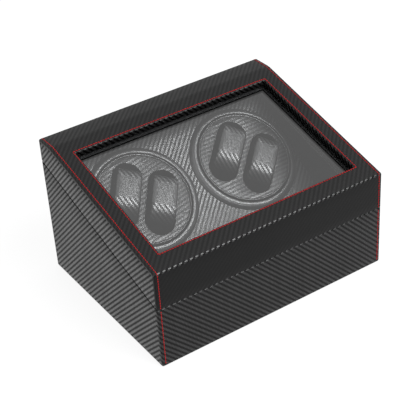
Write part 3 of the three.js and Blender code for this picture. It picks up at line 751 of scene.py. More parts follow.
def round_poly(corners, segments=5):
    """An open polyline of (x, y, radius) with each inner corner rounded by its radius."""
    points = [Vector(corner[:2]) for corner in corners]
    out = [points[0]]
    for i in range(1, len(points) - 1):
        corner, radius = points[i], corners[i][2]
        if radius <= 0:
            out.append(corner)
            continue
        back = (points[i - 1] - corner).normalized()
        ahead = (points[i + 1] - corner).normalized()
        angle = back.angle(ahead)
        tangent = radius / math.tan(angle / 2)
        centre = corner + (back + ahead).normalized() * (radius / math.sin(angle / 2))
        start, end = corner + back * tangent, corner + ahead * tangent
        first = math.atan2(start.y - centre.y, start.x - centre.x)
        last = math.atan2(end.y - centre.y, end.x - centre.x)
        sweep = (last - first + math.pi) % (2 * math.pi) - math.pi
        for k in range(segments + 1):
            turn = first + sweep * k / segments
            x, y = centre.x + radius * math.cos(turn), centre.y + radius * math.sin(turn)
            out.append(Vector((x, y)))
    out.append(points[-1])
    return out


def running_length(points):
    lengths = [0.0]
    for start, end in zip(points, points[1:]):
        lengths.append(lengths[-1] + (end - start).length)
    return lengths


def axis_frame(axis):
    axis = Vector(axis).normalized()
    side = axis.orthogonal().normalized()
    return axis, side, axis.cross(side)


def spin(profile, n, origin, axis, radial=None):
    """Vertices of a profile of (radius, height) turned in n steps. radial may alter a radius."""
    axis, side, other = axis_frame(axis)
    verts = []
    for k in range(n):
        angle = 2 * math.pi * k / n
        outward = side * math.cos(angle) + other * math.sin(angle)
        for radius, height in profile:
            reach = radial(angle, radius, height) if radial else radius
            verts.append(Vector(origin) + outward * reach + axis * height)
    return verts


def lathe(name, profile, n, origin, axis, body, material, slot, replaces=None):
    """A ring: a closed profile turned about the axis through origin."""
    verts = spin(profile, n, origin, axis)
    faces = band_faces(n, len(profile), closed=True)
    build(name, verts, faces, body, [material], slot, replaces, merge=1e-4)


def turned(
    name, profile, n, origin, axis, body, material, slot, replaces=None, radial=None, sharp=38
):
    """A solid whose profile starts and ends on the axis."""
    inner = profile[1:-1]
    m = len(inner)
    verts = spin(inner, n, origin, axis, radial)
    low, high = len(verts), len(verts) + 1
    unit = Vector(axis).normalized()
    verts += [Vector(origin) + unit * profile[end][1] for end in (0, -1)]
    faces = []
    for k in range(n):
        k2 = (k + 1) % n
        for i in range(m - 1):
            faces.append((k * m + i, k * m + i + 1, k2 * m + i + 1, k2 * m + i))
        faces.append((low, k * m, k2 * m))
        faces.append((high, k2 * m + m - 1, k * m + m - 1))
    build(name, verts, faces, body, [material], slot, replaces, sharp=sharp)


def curve_plate(name, outlines, depth, bevel, matrix, body, material, slot, replaces=None):
    """A plate with rolled edges, depth thick and centred on its plane.

    The first 2-D outline is its rim and the others are holes. matrix puts it in place.
    """
    curve = bpy.data.curves.new(name + "_c", "CURVE")
    curve.dimensions = "2D"
    curve.fill_mode = "BOTH"
    for outline in outlines:
        spline = curve.splines.new("POLY")
        spline.points.add(len(outline) - 1)
        for point, (x, y) in zip(spline.points, outline):
            point.co = (x * MM, y * MM, 0, 1)
        spline.use_cyclic_u = True
    curve.extrude = (depth / 2 - bevel) * MM
    curve.bevel_depth = bevel * MM
    curve.bevel_resolution = 2
    curve.offset = -bevel * MM
    draft = add_object(name + "_c", curve)
    bpy.context.view_layer.update()
    mesh = evaluated_mesh(draft)
    bpy.data.objects.remove(draft)
    bpy.data.curves.remove(curve)
    mesh.name = name
    tidy(mesh, weld=1e-6)
    mesh.transform(matrix)
    mesh.materials.append(material)
    place(name, mesh, body, slot, replaces, sharp=30)


def axes_matrix(origin, x, y, z):
    """Puts local axes at an origin in metres."""
    rows = [(x[i], y[i], z[i], origin[i]) for i in range(3)]
    return Matrix(rows + [(0, 0, 0, 1)])


def rear_plane(x, y, z):
    """A plane facing the rear. Seen from behind, its own x is -X and its own y is Z."""
    return axes_matrix(Vector((x, y, z)) * MM, (-1, 0, 0), (0, 0, 1), (0, 1, 0))


def circle(radius, n, x=0.0):
    angles = [2 * math.pi * k / n for k in range(n)]
    return [(x + radius * math.cos(angle), radius * math.sin(angle)) for angle in angles]


def rounded_rect(x0, x1, y0, y1, radius, n=6):
    low_x, high_x, low_y, high_y = x0 + radius, x1 - radius, y0 + radius, y1 - radius
    corners = ((high_x, high_y, 0), (low_x, high_y, 90), (low_x, low_y, 180), (high_x, low_y, 270))
    out = []
    for x, y, start in corners:
        for k in range(n + 1):
            angle = math.radians(start + 90 * k / n)
            out.append((x + radius * math.cos(angle), y + radius * math.sin(angle)))
    return out


def slot_outline(offset, tilt, grow=0.0, n=24):
    """A turntable slot in the turntable's plane. tilt is in degrees."""
    radius, straight = SLOT_WIDTH / 2 + grow, SLOT_LENGTH / 2 - SLOT_WIDTH / 2
    points = []
    for sign in (1, -1):
        for k in range(n + 1):
            angle = math.pi * k / n
            x = offset + sign * radius * math.cos(angle)
            points.append((x, sign * (straight + radius * math.sin(angle))))
    turn = -math.radians(tilt)
    cos, sin = math.cos(turn), math.sin(turn)
    return [(x * cos - y * sin, x * sin + y * cos) for x, y in points]


# ------------------------------------------------------------------ stitches
STITCH_PITCH, STITCH_LENGTH, STITCH_RADIUS, STITCH_LIFT = 3.4, 2.7, 0.6, 0.12
STITCH_SIDES = 7
# One stitch: (place along it from -1 to 1, share of the full radius).
STITCH_RINGS = [
    (-1.0, 0.0), (-0.86, 0.62), (-0.5, 0.95), (0.0, 1.0), (0.5, 0.95), (0.86, 0.62), (1.0, 0.0),
]


def stitches(name, path, body):
    """A row of capsules along a path of (point, normal), joined into one object."""
    points = [Vector(point) for point, _ in path]
    normals = [Vector(normal).normalized() for _, normal in path]
    run = running_length(points)
    count = round(run[-1] / STITCH_PITCH)
    step = run[-1] / count
    half = min(STITCH_LENGTH, step * 0.8) / 2
    n = STITCH_SIDES

    def at(distance):
        k = int(np.searchsorted(run, distance, side="right")) - 1
        part = (distance - run[k]) / (run[k + 1] - run[k])
        normal = normals[k].lerp(normals[k + 1], part).normalized()
        return points[k].lerp(points[k + 1], part), normal

    verts, faces = [], []
    for k in range(count):
        middle = (k + 0.5) * step
        start, _ = at(middle - half)
        end, _ = at(middle + half)
        _, normal = at(middle)
        forward = (end - start).normalized()
        up = (normal - forward * normal.dot(forward)).normalized()
        sideways = forward.cross(up)
        slant = sideways * 0.12
        tip = len(verts)
        for place_along, share in STITCH_RINGS:
            sink = 0.35 * place_along * place_along * STITCH_RADIUS
            centre = start.lerp(end, (place_along + 1) / 2) + up * (STITCH_LIFT - sink)
            centre = centre + slant * place_along * half
            if share == 0.0:
                verts.append(centre)
                continue
            for i in range(n):
                turn = 2 * math.pi * i / n
                spoke = sideways * math.cos(turn) + up * math.sin(turn) * 0.8
                verts.append(centre + spoke * STITCH_RADIUS * share)
        first = tip + 1
        far_tip = len(verts) - 1
        last = far_tip - n
        pairs = [(i, (i + 1) % n) for i in range(n)]
        faces += [(tip, first + i, first + j) for i, j in pairs]
        for ring in range(first, last, n):
            faces += [(ring + i, ring + n + i, ring + n + j, ring + j) for i, j in pairs]
        faces += [(last + i, far_tip, last + j) for i, j in pairs]
    build(name, verts, faces, body, [THREAD], "cable", sharp=60)


# ------------------------------------------------------------------ leather shells of the base
CORNER_RADIUS = 2.4
# Section of a cover: (inset, datum, height). Heights are above the ground for "bottom", below
# or above the cover's top for "top", and a share of the wall between them for "wall".
COVER_SECTION = [
    (2.35, "bottom", 0.75), (1.6, "bottom", 0.75), (0.95, "bottom", 0.9),
    (0.45, "bottom", 1.25), (0.12, "bottom", 1.8), (0, "bottom", 2.5),
    (0, "wall", 0.2), (0, "wall", 0.4), (0, "wall", 0.6), (0, "wall", 0.8),
    (0, "top", -1.0), (0.08, "top", -0.6), (0.3, "top", -0.29), (0.62, "top", -0.08),
    (1.0, "top", 0), (2.35, "top", 0), (2.35, "top", -0.25), (1.35, "top", -0.27),
    (1.1, "top", -0.9), (1.1, "bottom", 2.5), (1.25, "bottom", 1.26), (2.35, "bottom", 1.2),
]


def corner_arc(x, y, start, n=6):
    """A quarter turn in plan, with the inward direction at each point."""
    out = []
    for k in range(n + 1):
        angle = math.radians(start + 90 * k / n)
        cos, sin = math.cos(angle), math.sin(angle)
        out.append((x + CORNER_RADIUS * cos, y + CORNER_RADIUS * sin, -cos, -sin))
    return out


def cover_plan(side):
    """(x, y, inward x, inward y) along one side of the base, in plan.

    The front and rear covers wrap round the corners. The rear is the front turned half
    round, and the right side is the left turned half round.
    """
    if side in ("front", "rear"):
        near_x, near_y = HALF_X - CORNER_RADIUS, -HALF_Y + CORNER_RADIUS
        end_y = -HALF_Y + 3.6
        plan = [(-HALF_X, end_y, 1, 0)] + corner_arc(-near_x, near_y, 180)
        plan += [(x, -HALF_Y, 0, 1) for x in np.linspace(-near_x, near_x, 12)[1:-1]]
        plan += corner_arc(near_x, near_y, 270) + [(HALF_X, end_y, -1, 0)]
    else:
        end_y = HALF_Y - 3.75
        plan = [(-HALF_X, y, 1, 0) for y in np.linspace(end_y, -end_y, 16)]
    if side in ("rear", "right"):
        plan = [tuple(-part for part in point) for point in plan]
    return plan


def base_cover(side, material, flip):
    plan = cover_plan(side)
    run = running_length([Vector(point[:2]) for point in plan])
    gap = 0.75 if side in ("left", "right") else 0.2
    verts, uv = [], []
    for (x, y, in_x, in_y), distance in zip(plan, run):
        for inset, datum, height in COVER_SECTION:
            px, py = x + in_x * inset, y + in_y * inset
            top = seam_z(py) - gap
            if datum == "bottom":
                z = height
            elif datum == "wall":
                z = 2.5 + (top - 3.5) * height
            else:
                z = top + height
            verts.append((px, py, z))
            uv.append(((distance - run[-1] / 2) * flip, z + (inset if datum == "top" else 0)))
    build(
        "base_%s_leather" % side, verts, sweep_faces(len(plan), len(COVER_SECTION)),
        "base", [material], "leatherette", "base_%s_cover" % side, uv=uv,
    )


# flip mirrors the weave along the cover.
base_cover("front", LEATHER_FRONT, flip=-1)
base_cover("left", LEATHER_SIDE, flip=1)
base_cover("right", LEATHER_SIDE, flip=1)
base_cover("rear", LEATHER_FRONT, flip=1)

# ------------------------------------------------------------------ leather of the lid
# The flat leather stops here, outside the window's edge, and rolls down from it.
ROLL_MARGIN = 2.6
ROLL_T0, ROLL_T1 = WIN_T0 - ROLL_MARGIN, WIN_T1 + ROLL_MARGIN
ROLL_X = WIN_X + ROLL_MARGIN
LID_SEAM_GAP = 0.2
LID_EDGE_RADIUS, LID_LEATHER = 2.3, 1.1  # side edge's radius and the leather's thickness
WINDOW_ROLL = 2.85


def clamp_lid(y, z, inset):
    """Keeps a point at least inset inside the lid's outline."""
    y = min(max(y, -HALF_Y + inset), HALF_Y - inset)
    z = min(z, slope_z(y, inset), TOP_REAR_Z - inset)
    return y, max(z, seam_z(y) + LID_SEAM_GAP + inset)


def slope_yz(t):
    return -HALF_Y + t * math.cos(TOP_ANGLE), TOP_FRONT_Z + t * math.sin(TOP_ANGLE)


def lid_path():
    """The lid's outline in (y, z), from the front seam over the top to the rear seam."""
    turned_in = -HALF_Y + 2.3
    corners = [
        (turned_in, seam_z(turned_in) + LID_SEAM_GAP, 0),
        (-HALF_Y, seam_z(-HALF_Y) + LID_SEAM_GAP, 1.0),
    ]
    corners += [(-HALF_Y, 84 + 46 * part, 0) for part in (0.25, 0.5, 0.75)]
    corners.append((-HALF_Y, TOP_FRONT_Z, 2.6))
    corners += [slope_yz(t) + (0,) for t in np.linspace(ROLL_T0, ROLL_T1, 12)]
    corners += [
        (bend_y(), TOP_REAR_Z, 26.0),
        (HALF_Y - 12, TOP_REAR_Z, 0),
        (HALF_Y, TOP_REAR_Z, 2.6),
        (HALF_Y, 175, 0),
        (HALF_Y, seam_z(HALF_Y) + LID_SEAM_GAP, 1.0),
        (HALF_Y - 2.3, seam_z(HALF_Y - 2.3) + LID_SEAM_GAP, 0),
    ]
    return round_poly(corners)


LID_PATH = lid_path()
LID_DIRECTIONS = [
    (LID_PATH[min(k + 1, len(LID_PATH) - 1)] - LID_PATH[max(k - 1, 0)]).normalized()
    for k in range(len(LID_PATH))
]


def lid_columns(inset):
    """(x, inset) across the lid for a layer of the leather, with its side edges rounded."""
    radius = LID_EDGE_RADIUS - inset
    left = [(-HALF_X + inset, 3.4)]
    for degrees in range(90, -1, -18):
        angle = math.radians(degrees)
        x = -HALF_X + LID_EDGE_RADIUS - radius * math.sin(angle)
        left.append((x, LID_EDGE_RADIUS - radius * math.cos(angle)))
    left += [(x, inset) for x in (-153.0, -ROLL_X)]
    return left + [(-x, depth) for x, depth in reversed(left)]


def lid_top():
    """One sheet over front, slope, top and rear, with the window cut out of it."""
    path = LID_PATH
    stations = len(path)
    inward = Vector((math.sin(TOP_ANGLE), -math.cos(TOP_ANGLE)))

    def nearest(t):
        return min(range(stations), key=lambda k: (path[k] - Vector(slope_yz(t))).length)

    front, rear = nearest(ROLL_T0), nearest(ROLL_T1)
    # The path runs clockwise seen from +X. Along the window the slope's own normal holds.
    normals = [Vector((along.y, -along.x)) for along in LID_DIRECTIONS]
    for k in range(front, rear + 1):
        normals[k] = inward
    run = running_length(path)
    layers = (lid_columns(0.0), lid_columns(LID_LEATHER))
    n = len(layers[0])
    left, right = n // 2 - 1, n // 2  # the columns at the window's sides
    verts, uv, faces, face_mats = [], [], [], []
    for k in range(stations):
        for x, depth in layers[0] + layers[1]:
            spot = path[k] + normals[k] * depth
            y, z = clamp_lid(spot.x, spot.y, depth) if depth > 0 else spot
            verts.append((x, y, z))
            extra = depth if abs(x) > HALF_X - LID_EDGE_RADIUS else 0
            uv.append((x + math.copysign(extra, x), run[k]))

    def index(k, layer, column):
        return (k * 2 + layer) * n + column

    def add_face(corners, kind):
        faces.append(tuple(index(*corner) for corner in corners))
        face_mats.append(kind)

    # Material slots: 0 top, 1 front face, 2 front rolled edge, 3 window wall. The one sheet takes
    # four copies of the leatherette, greyed by how light falls on each part: painted light and
    # shade.
    for k in range(stations - 1):
        middle = (path[k] + path[k + 1]) / 2
        if middle.x < -HALF_Y + 0.02 and middle.y > seam_z(-HALF_Y) + 1:
            kind = 1
        elif k < front - 1:
            kind = 2
        else:
            kind = 0
        for c in range(n - 1):
            if front <= k < rear and c == left:
                continue
            add_face(((k, 0, c), (k, 0, c + 1), (k + 1, 0, c + 1), (k + 1, 0, c)), kind)
            add_face(((k, 1, c), (k + 1, 1, c), (k + 1, 1, c + 1), (k, 1, c + 1)), kind)
        for c in (0, n - 1):
            add_face(((k, 0, c), (k + 1, 0, c), (k + 1, 1, c), (k, 1, c)), kind)
    for k in (0, stations - 1):
        for c in range(n - 1):
            add_face(((k, 0, c), (k, 1, c), (k, 1, c + 1), (k, 0, c + 1)), 0)

    # The window's edge: leather rolled over and turned down to the pane.
    ring = [(k, left) for k in range(front, rear + 1)]
    ring += [(k, right) for k in range(rear, front - 1, -1)]
    section = []  # (towards the opening, depth)
    for degrees in range(15, 91, 15):
        angle = math.radians(degrees)
        section.append((WINDOW_ROLL * math.sin(angle), WINDOW_ROLL * (1 - math.cos(angle))))
    section += [
        (WINDOW_ROLL, 5.5), (WINDOW_ROLL, 7.5), (2.7, 8.2), (2.3, 8.6), (1.7, 8.6), (1.7, 1.3),
    ]
    loops = [[index(k, 0, c) for k, c in ring]]
    for reach, depth in section:
        loop = []
        for k, c in ring:
            sign_x = 1 if c == left else -1
            sign_t = (k == front) - (k == rear)
            x = layers[0][c][0] + sign_x * reach
            y = path[k].x + sign_t * reach * math.cos(TOP_ANGLE) + inward.x * depth
            z = path[k].y + sign_t * reach * math.sin(TOP_ANGLE) + inward.y * depth
            loop.append(len(verts))
            verts.append((x, y, z))
            uv.append((-x + run[k], -depth))
        loops.append(loop)
    loops.append([index(k, 1, c) for k, c in ring])
    for number, (upper, lower) in enumerate(zip(loops, loops[1:])):
        for i in range(len(ring)):
            j = (i + 1) % len(ring)
            faces.append((upper[i], upper[j], lower[j], lower[i]))
            face_mats.append(0 if number < 3 else 3)
    build(
        "lid_top_leather", verts, faces, "lid",
        [LEATHER_LID, LEATHER_LID_FRONT, LEATHER_ROLL, LEATHER_WALL],
        "leatherette", "lid_top_cover", uv=uv, face_mats=face_mats, merge=1e-3, sharp=50,
    )


lid_top()


def lid_side(side, sx):
    end_y = HALF_Y - 3.6
    top_inset = 3.55
    stations = sorted({-end_y, end_y, bend_y(top_inset), *np.linspace(-end_y, end_y, 18)})
    if sx < 0:
        stations.reverse()
    verts, uv = [], []
    for y in stations:
        low = seam_z(y) + 0.75
        top = min(slope_z(y, top_inset), TOP_REAR_Z - top_inset)
        section = [  # (inset, z)
            (2.3, low), (1.0, low), (0.62, low + 0.08), (0.3, low + 0.29), (0.08, low + 0.6),
            (0, low + 1.0), (0, low + (top - low) * 0.35), (0, low + (top - low) * 0.7),
            (0, top - 0.35), (0.12, top - 0.1), (0.35, top), (1.1, top),
            (1.1, low + 0.95), (1.35, low + 0.27), (2.3, low + 0.25),
        ]
        for inset, z in section:
            verts.append((sx * (HALF_X - inset), y, z))
            uv.append((sx * y, z - (inset if z < low + 0.9 else 0)))
    build(
        "lid_%s_leather" % side, verts, sweep_faces(len(stations), len(section)),
        "lid", [LEATHER_SIDE], "leatherette", "lid_%s_cover" % side, uv=uv,
    )


for side, sx in SIDES:
    lid_side(side, sx)

# ------------------------------------------------------------------ stitch lines
# Round the window: half the frame's width, and its front and rear lines up the slope.
LINE_X, LINE_T0, LINE_T1 = HALF_X - 21.4, 23.7, 214.0
EDGE_STITCH_X = HALF_X - 4.5
for tag, start, end in (
    ("front", (-LINE_X, LINE_T0), (LINE_X, LINE_T0)),
    ("rear", (-LINE_X, LINE_T1), (LINE_X, LINE_T1)),
    ("left", (-LINE_X, LINE_T0), (-LINE_X, LINE_T1)),
    ("right", (LINE_X, LINE_T0), (LINE_X, LINE_T1)),
):
    path = [(slope_point(*start), TOP_NORMAL), (slope_point(*end), TOP_NORMAL)]
    stitches("lid_window_stitching_" + tag, path, "lid")
for side, sx in SIDES:
    x = sx * EDGE_STITCH_X
    path = [
        (Vector((x, spot.x, spot.y)), Vector((0, -along.y, along.x)))
        for spot, along in zip(LID_PATH, LID_DIRECTIONS)
    ]
    first = next(k for k, (p, _) in enumerate(path) if p.z > seam_z(-HALF_Y) + 1.0)
    last = max(k for k, (p, _) in enumerate(path) if p.z > seam_z(HALF_Y) + 1.0)
    stitches("lid_edge_stitching_" + side, path[first : last + 1], "lid")
    for end, sy in (("front", -1), ("rear", 1)):
        y = sy * HALF_Y
        path = [((x, y, z), (0, sy, 0)) for z in (4.0, seam_z(y) - 1.4)]
        stitches("base_%s_stitching_%s" % (end, side), path, "base")

# ------------------------------------------------------------------ turntables
# Sections are (radius, height) from the turntable's centre and plane.
# The bezel is level near the turntable, then a rounded shoulder falls to the deck.
BEZEL_SECTION = [
    (64.0, -11), (65.4, -11), (65.4, -4.1), (72.95, -4.1), (73.0, -3.95), (72.85, -3.6),
    (72.5, -3.15), (71.6, -2.25), (70.4, -1.1), (69.2, -0.15),
]
BEZEL_SECTION += [
    (66.6 + 2.6 * math.sin(angle), -1.9 + 2.6 * math.cos(angle))
    for angle in map(math.radians, range(44, 3, -8))
]
BEZEL_SECTION += [
    (66.0, 0.72), (65.1, 0.72), (64.7, 0.66), (64.35, 0.5), (64.12, 0.25), (64.0, -0.1),
]
# The drum's wall, with a raised rim round the faceplate.
DRUM_SECTION = [
    (60.1, -2.9), (60.1, 0.7), (60.2, 1.02), (60.5, 1.28), (60.9, 1.4), (61.3, 1.28),
    (61.6, 1.02), (61.7, 0.7), (61.7, -0.6), (61.4, -1.2), (61.4, -37.4), (60.8, -38),
    (59.9, -38), (59.9, -5.2), (56, -5.2), (56, -2.9),
]
# Pocket cup: (growth of the slot's outline, height), down the outside, then up the inside.
POCKET_LEVELS = [
    (1.5, -3.0), (1.5, -37.6), (0.9, -38.2), (-4.0, -38.2),
    (-6.0, -36.0), (-3.0, -35.6), (-0.9, -34.4), (0.0, -32.0), (0.0, -3.0),
]
POCKET_OUTSIDE = 4  # how many of the levels are outside
TABLE_STEPS = 160


def pocket(side, tag, offset, centre):
    verts = []
    for grow, height in POCKET_LEVELS:
        outline = slot_outline(offset, SLOT_ANGLE[side], grow)
        for x, y in outline:
            verts.append(centre + Vector((x, 0, 0)) + DECK_UP * y + DECK_NORMAL * height)
    n = len(outline)
    faces = band_faces(len(POCKET_LEVELS), n, closed=True)
    # The outer and inner floors are capped instead of joined.
    del faces[(POCKET_OUTSIDE - 1) * n : POCKET_OUTSIDE * n]
    faces += [loop_face(POCKET_OUTSIDE - 1, n), loop_face(POCKET_OUTSIDE, n)]
    name = "turntable_pocket_%s_%s" % (side, tag)
    build(name, verts, faces, "turntable_" + side, [POCKET], "gloss_black", sharp=45)


def turntable(side, sx):
    centre = table_axes(side, sx)[0]
    body = "turntable_" + side
    lathe(
        "bezel_" + side, BEZEL_SECTION, TABLE_STEPS, centre, DECK_NORMAL,
        "base", BEZEL, "gloss_black", "bezel_ring_" + side,
    )
    matrix = axes_matrix(centre * MM, (1, 0, 0), DECK_UP, DECK_NORMAL)
    tilt = SLOT_ANGLE[side]
    holes = [slot_outline(offset, tilt, grow=0.1) for offset in (SLOT_OFFSET, -SLOT_OFFSET)]
    curve_plate(
        "turntable_cover_" + side, [circle(59.4, TABLE_STEPS)] + holes,
        3.3, 0.2, matrix @ Matrix.Translation((0, 0, -0.9 * MM)),
        body, LEATHER_DISC[side], "leatherette", "turntable_face_" + side,
    )
    lathe(
        "turntable_rim_" + side, DRUM_SECTION, TABLE_STEPS, centre, DECK_NORMAL,
        body, BEZEL, "gloss_black", "turntable_drum_" + side,
    )
    for tag, offset in SLOTS:
        pocket(side, tag, offset, centre)


for side, sx in SIDES:
    turntable(side, sx)

# ------------------------------------------------------------------ watch cushions
# Local axes: x across, y along, z out of the faceplate.
CUSHION_SHRINK = 0.4  # room left for the cloth to swell
CUSHION_MID_Z = (CUSHION_TOP + CUSHION_BOTTOM) / 2


def cushion_profile():
    """(y, z) round the cushion seen from its side, in four quarter turns."""
    half = CUSHION_LENGTH / 2 - CUSHION_SHRINK
    top, bottom = CUSHION_TOP - CUSHION_SHRINK, CUSHION_BOTTOM + CUSHION_SHRINK
    corners = (
        (half - 11, top - 11, 11), (-half + 19, top - 19, 19),
        (-half + 14, bottom + 14, 14), (half - 14, bottom + 14, 14),
    )
    points = []
    for quarter, (y, z, radius) in enumerate(corners):
        for i in range(10):
            turn = quarter * math.pi / 2 + (math.pi / 2) * i / 9
            points.append((y + radius * math.cos(turn), z + radius * math.sin(turn)))
    return points


def cushion_block(name):
    """The unstuffed cushion as an object on an even grid."""
    profile = cushion_profile()
    half = CUSHION_WIDTH / 2 - CUSHION_SHRINK
    # (x, how far the outline is drawn in)
    stations = [
        (-half, 0.9), (-half + 0.3, 0.3), (-half + 1.0, 0.0), (0.0, 0.0),
        (half - 1.0, 0.0), (half - 0.3, 0.3), (half, 0.9),
    ]
    verts = []
    for x, inset in stations:
        for y, z in profile:
            rise = z - CUSHION_MID_Z
            distance = math.hypot(y, rise)
            scale = (distance - inset) / distance
            verts.append((x, y * scale, CUSHION_MID_Z + rise * scale))
    mesh = raw_mesh(name, verts, sweep_faces(len(stations), len(profile)))
    tidy(mesh)
    obj = add_object(name, mesh)
    remesh = obj.modifiers.new("r", "REMESH")
    remesh.mode = "VOXEL"
    remesh.voxel_size = 0.0017
    grid = evaluated_mesh(obj)
    obj.modifiers.clear()
    obj.data = grid
    return obj


def read_vectors(items, attribute):
    values = np.zeros(len(items) * 3)
    items.foreach_get(attribute, values)
    return values.reshape(-1, 3)


def stuff(obj, rest):
    """Swells the cushion as pressurised cloth. Returns its mesh and new coordinates."""
    last_frame = 20
    cloth = obj.modifiers.new("c", "CLOTH")
    settings = cloth.settings
    settings.quality = 4
    settings.mass = 0.15
    settings.tension_stiffness = 18
    settings.compression_stiffness = 18
    settings.bending_stiffness = 0.8
    settings.use_pressure = True
    settings.uniform_pressure_force = 4.0
    settings.effector_weights.gravity = 0.0
    cloth.point_cache.frame_start = 1
    cloth.point_cache.frame_end = last_frame
    for number in range(1, last_frame + 1):
        scene.frame_set(number)
    mesh = evaluated_mesh(obj)
    obj.modifiers.clear()
    moved = read_vectors(mesh.vertices, "co")
    scene.frame_set(1)
    step = moved - rest
    size = np.linalg.norm(step, axis=1)
    longest_step = 0.0028
    scale = np.minimum(1.0, longest_step / np.maximum(size, 1e-9))
    final = rest + step * scale[:, None]
    # The slot's walls and the panel joins hold the cushion to its width and length.
    half_x, half_y = (CUSHION_WIDTH / 2 + 0.5) * MM, (CUSHION_LENGTH / 2 + 0.6) * MM
    limit = np.array([half_x, half_y, 1.0])
    final = np.clip(final, -limit, limit)
    low, high = (CUSHION_BOTTOM + 0.2) * MM, (CUSHION_TOP + 1.0) * MM
    final[:, 2] = np.clip(final[:, 2], low, high)
    return mesh, final


def sew(coords):
    """Sinks a narrow valley where the wrap panel meets each side panel, inside the edge."""
    seam_x = CUSHION_WIDTH / 2 * MM - 0.0012
    seam_width, seam_depth = 0.0009, 0.00035
    away = np.abs(np.abs(coords[:, 0]) - seam_x)
    groove = np.exp(-((away / seam_width) ** 2)) * seam_depth
    rise = coords[:, 2] - CUSHION_MID_Z * MM
    outward = np.stack([np.zeros(len(coords)), coords[:, 1], rise], axis=1)
    outward /= np.maximum(np.linalg.norm(outward, axis=1, keepdims=True), 1e-9)
    return coords - outward * groove[:, None]


def cushion(side, sx, tag, offset):
    table_centre, along, across = table_axes(side, sx)
    name = "watch_cushion_%s_%s" % (side, tag)
    obj = cushion_block(name)
    mesh = obj.data
    coords = read_vectors(mesh.vertices, "co")
    mesh, coords = stuff(obj, coords)
    mesh.vertices.foreach_set("co", sew(coords).ravel())
    mesh.update()
    obj.data = mesh
    subdivision = obj.modifiers.new("s", "SUBSURF")
    subdivision.levels = subdivision.render_levels = 1
    smoothing = obj.modifiers.new("m", "SMOOTH")
    smoothing.factor = 0.5
    smoothing.iterations = 1
    final = evaluated_mesh(obj)
    bpy.data.objects.remove(obj)
    final.name = name
    centre = table_centre + across * offset
    final.transform(axes_matrix(centre * MM, across, along, DECK_NORMAL))
    final.materials.append(LEATHER_CUSHION[side])
    final.materials.append(CUSHION_FLANK)
    flank = np.abs(read_vectors(final.polygons, "normal") @ np.array(across)) > 0.8
    final.polygons.foreach_set("material_index", flank.astype(np.int32))
    tail = "%s_%s" % (side, tag)
    place(name, final, "pillow_" + tail, "leatherette", "watch_pillow_" + tail, sharp=60)


for side, sx in SIDES:
    for tag, offset in SLOTS:
        cushion(side, sx, tag, offset)


# ------------------------------------------------------------------ screws
def screw(name, origin, body, material, slot):
    """Cross-head screw facing the rear: a low dome with a cross pressed into it."""
    head_radius, head_height = 2.0, 0.9
    arm_width, arm_reach = 0.17 * head_radius, 0.62 * head_radius
    axis, side, other = axis_frame(ALONG_Y)
    origin = Vector(origin)
    verts = []
    n, rings = 32, 9
    for k in range(rings + 1):
        radius = head_radius * k / rings
        for i in range(n):
            angle = 2 * math.pi * i / n
            x, y = radius * math.cos(angle), radius * math.sin(angle)
            z = head_height * math.sqrt(max(0.0, 1 - (radius / head_radius) ** 2 * 0.9))
            reach = max(abs(x), abs(y))
            if min(abs(x), abs(y)) < arm_width and reach < arm_reach:
                ramp = (arm_reach - reach) / (0.3 * head_radius) + 0.3
                z -= head_height * 0.5 * min(1.0, ramp)
            verts.append(origin + side * x + other * y + axis * z)
    for i in range(n):
        angle = 2 * math.pi * i / n
        x, y = head_radius * math.cos(angle), head_radius * math.sin(angle)
        verts.append(origin + side * x + other * y)
    faces = band_faces(rings + 2, n) + [loop_face(rings + 1, n)]
    build(name, verts, faces, body, [material], slot, merge=1e-3, sharp=50)


# ------------------------------------------------------------------ hinges
REAR_GAP = 0.3  # between the rear face and what is fixed to it
HINGE_X = 95.0
PIN_Y, PIN_Z = HALF_Y + 3.4, SEAM_REAR_Z
LEAF_THICKNESS = 1.2
LEAF_FRONT = HALF_Y + REAR_GAP
LEAF_REAR = LEAF_FRONT + LEAF_THICKNESS
LEAF_NEAR, LEAF_FAR = 3.2, 19  # a leaf's edges, from the pin
HINGE_PARTS = {"base": -1, "lid": 1}  # which way each leaf lies from the pin
KNUCKLES = (("base", "_1", -15, -5), ("base", "_2", 5, 15), ("lid", "", -4.6, 4.6))
# Section of the curled strap that joins a barrel to its leaf: (y, distance from the pin's height).
STRAP_SECTION = [
    (LEAF_FRONT, 3.9), (LEAF_REAR, 3.9), (LEAF_REAR + 0.15, 3.3), (LEAF_REAR + 0.7, 2.75),
    (PIN_Y, 2.62), (PIN_Y - 0.4, 1.7), (LEAF_FRONT + 0.8, 1.9), (LEAF_FRONT, 2.9),
]


def barrel(name, x0, x1, body):
    radius, bore, chamfer = 2.7, 1.5, 0.25
    section = [
        (bore, x0 + chamfer), (bore + chamfer, x0), (radius - chamfer, x0),
        (radius, x0 + chamfer), (radius, x1 - chamfer), (radius - chamfer, x1),
        (bore + chamfer, x1), (bore, x1 - chamfer),
    ]
    lathe(name, section, 48, (0, PIN_Y, PIN_Z), (1, 0, 0), body, NICKEL, "nickel")


def strap(name, x0, x1, body):
    sz = HINGE_PARTS[body]
    verts = [(x, y, PIN_Z + sz * rise) for x in (x0, x1) for y, rise in STRAP_SECTION]
    build(name, verts, sweep_faces(2, len(STRAP_SECTION)), body, [NICKEL], "nickel")


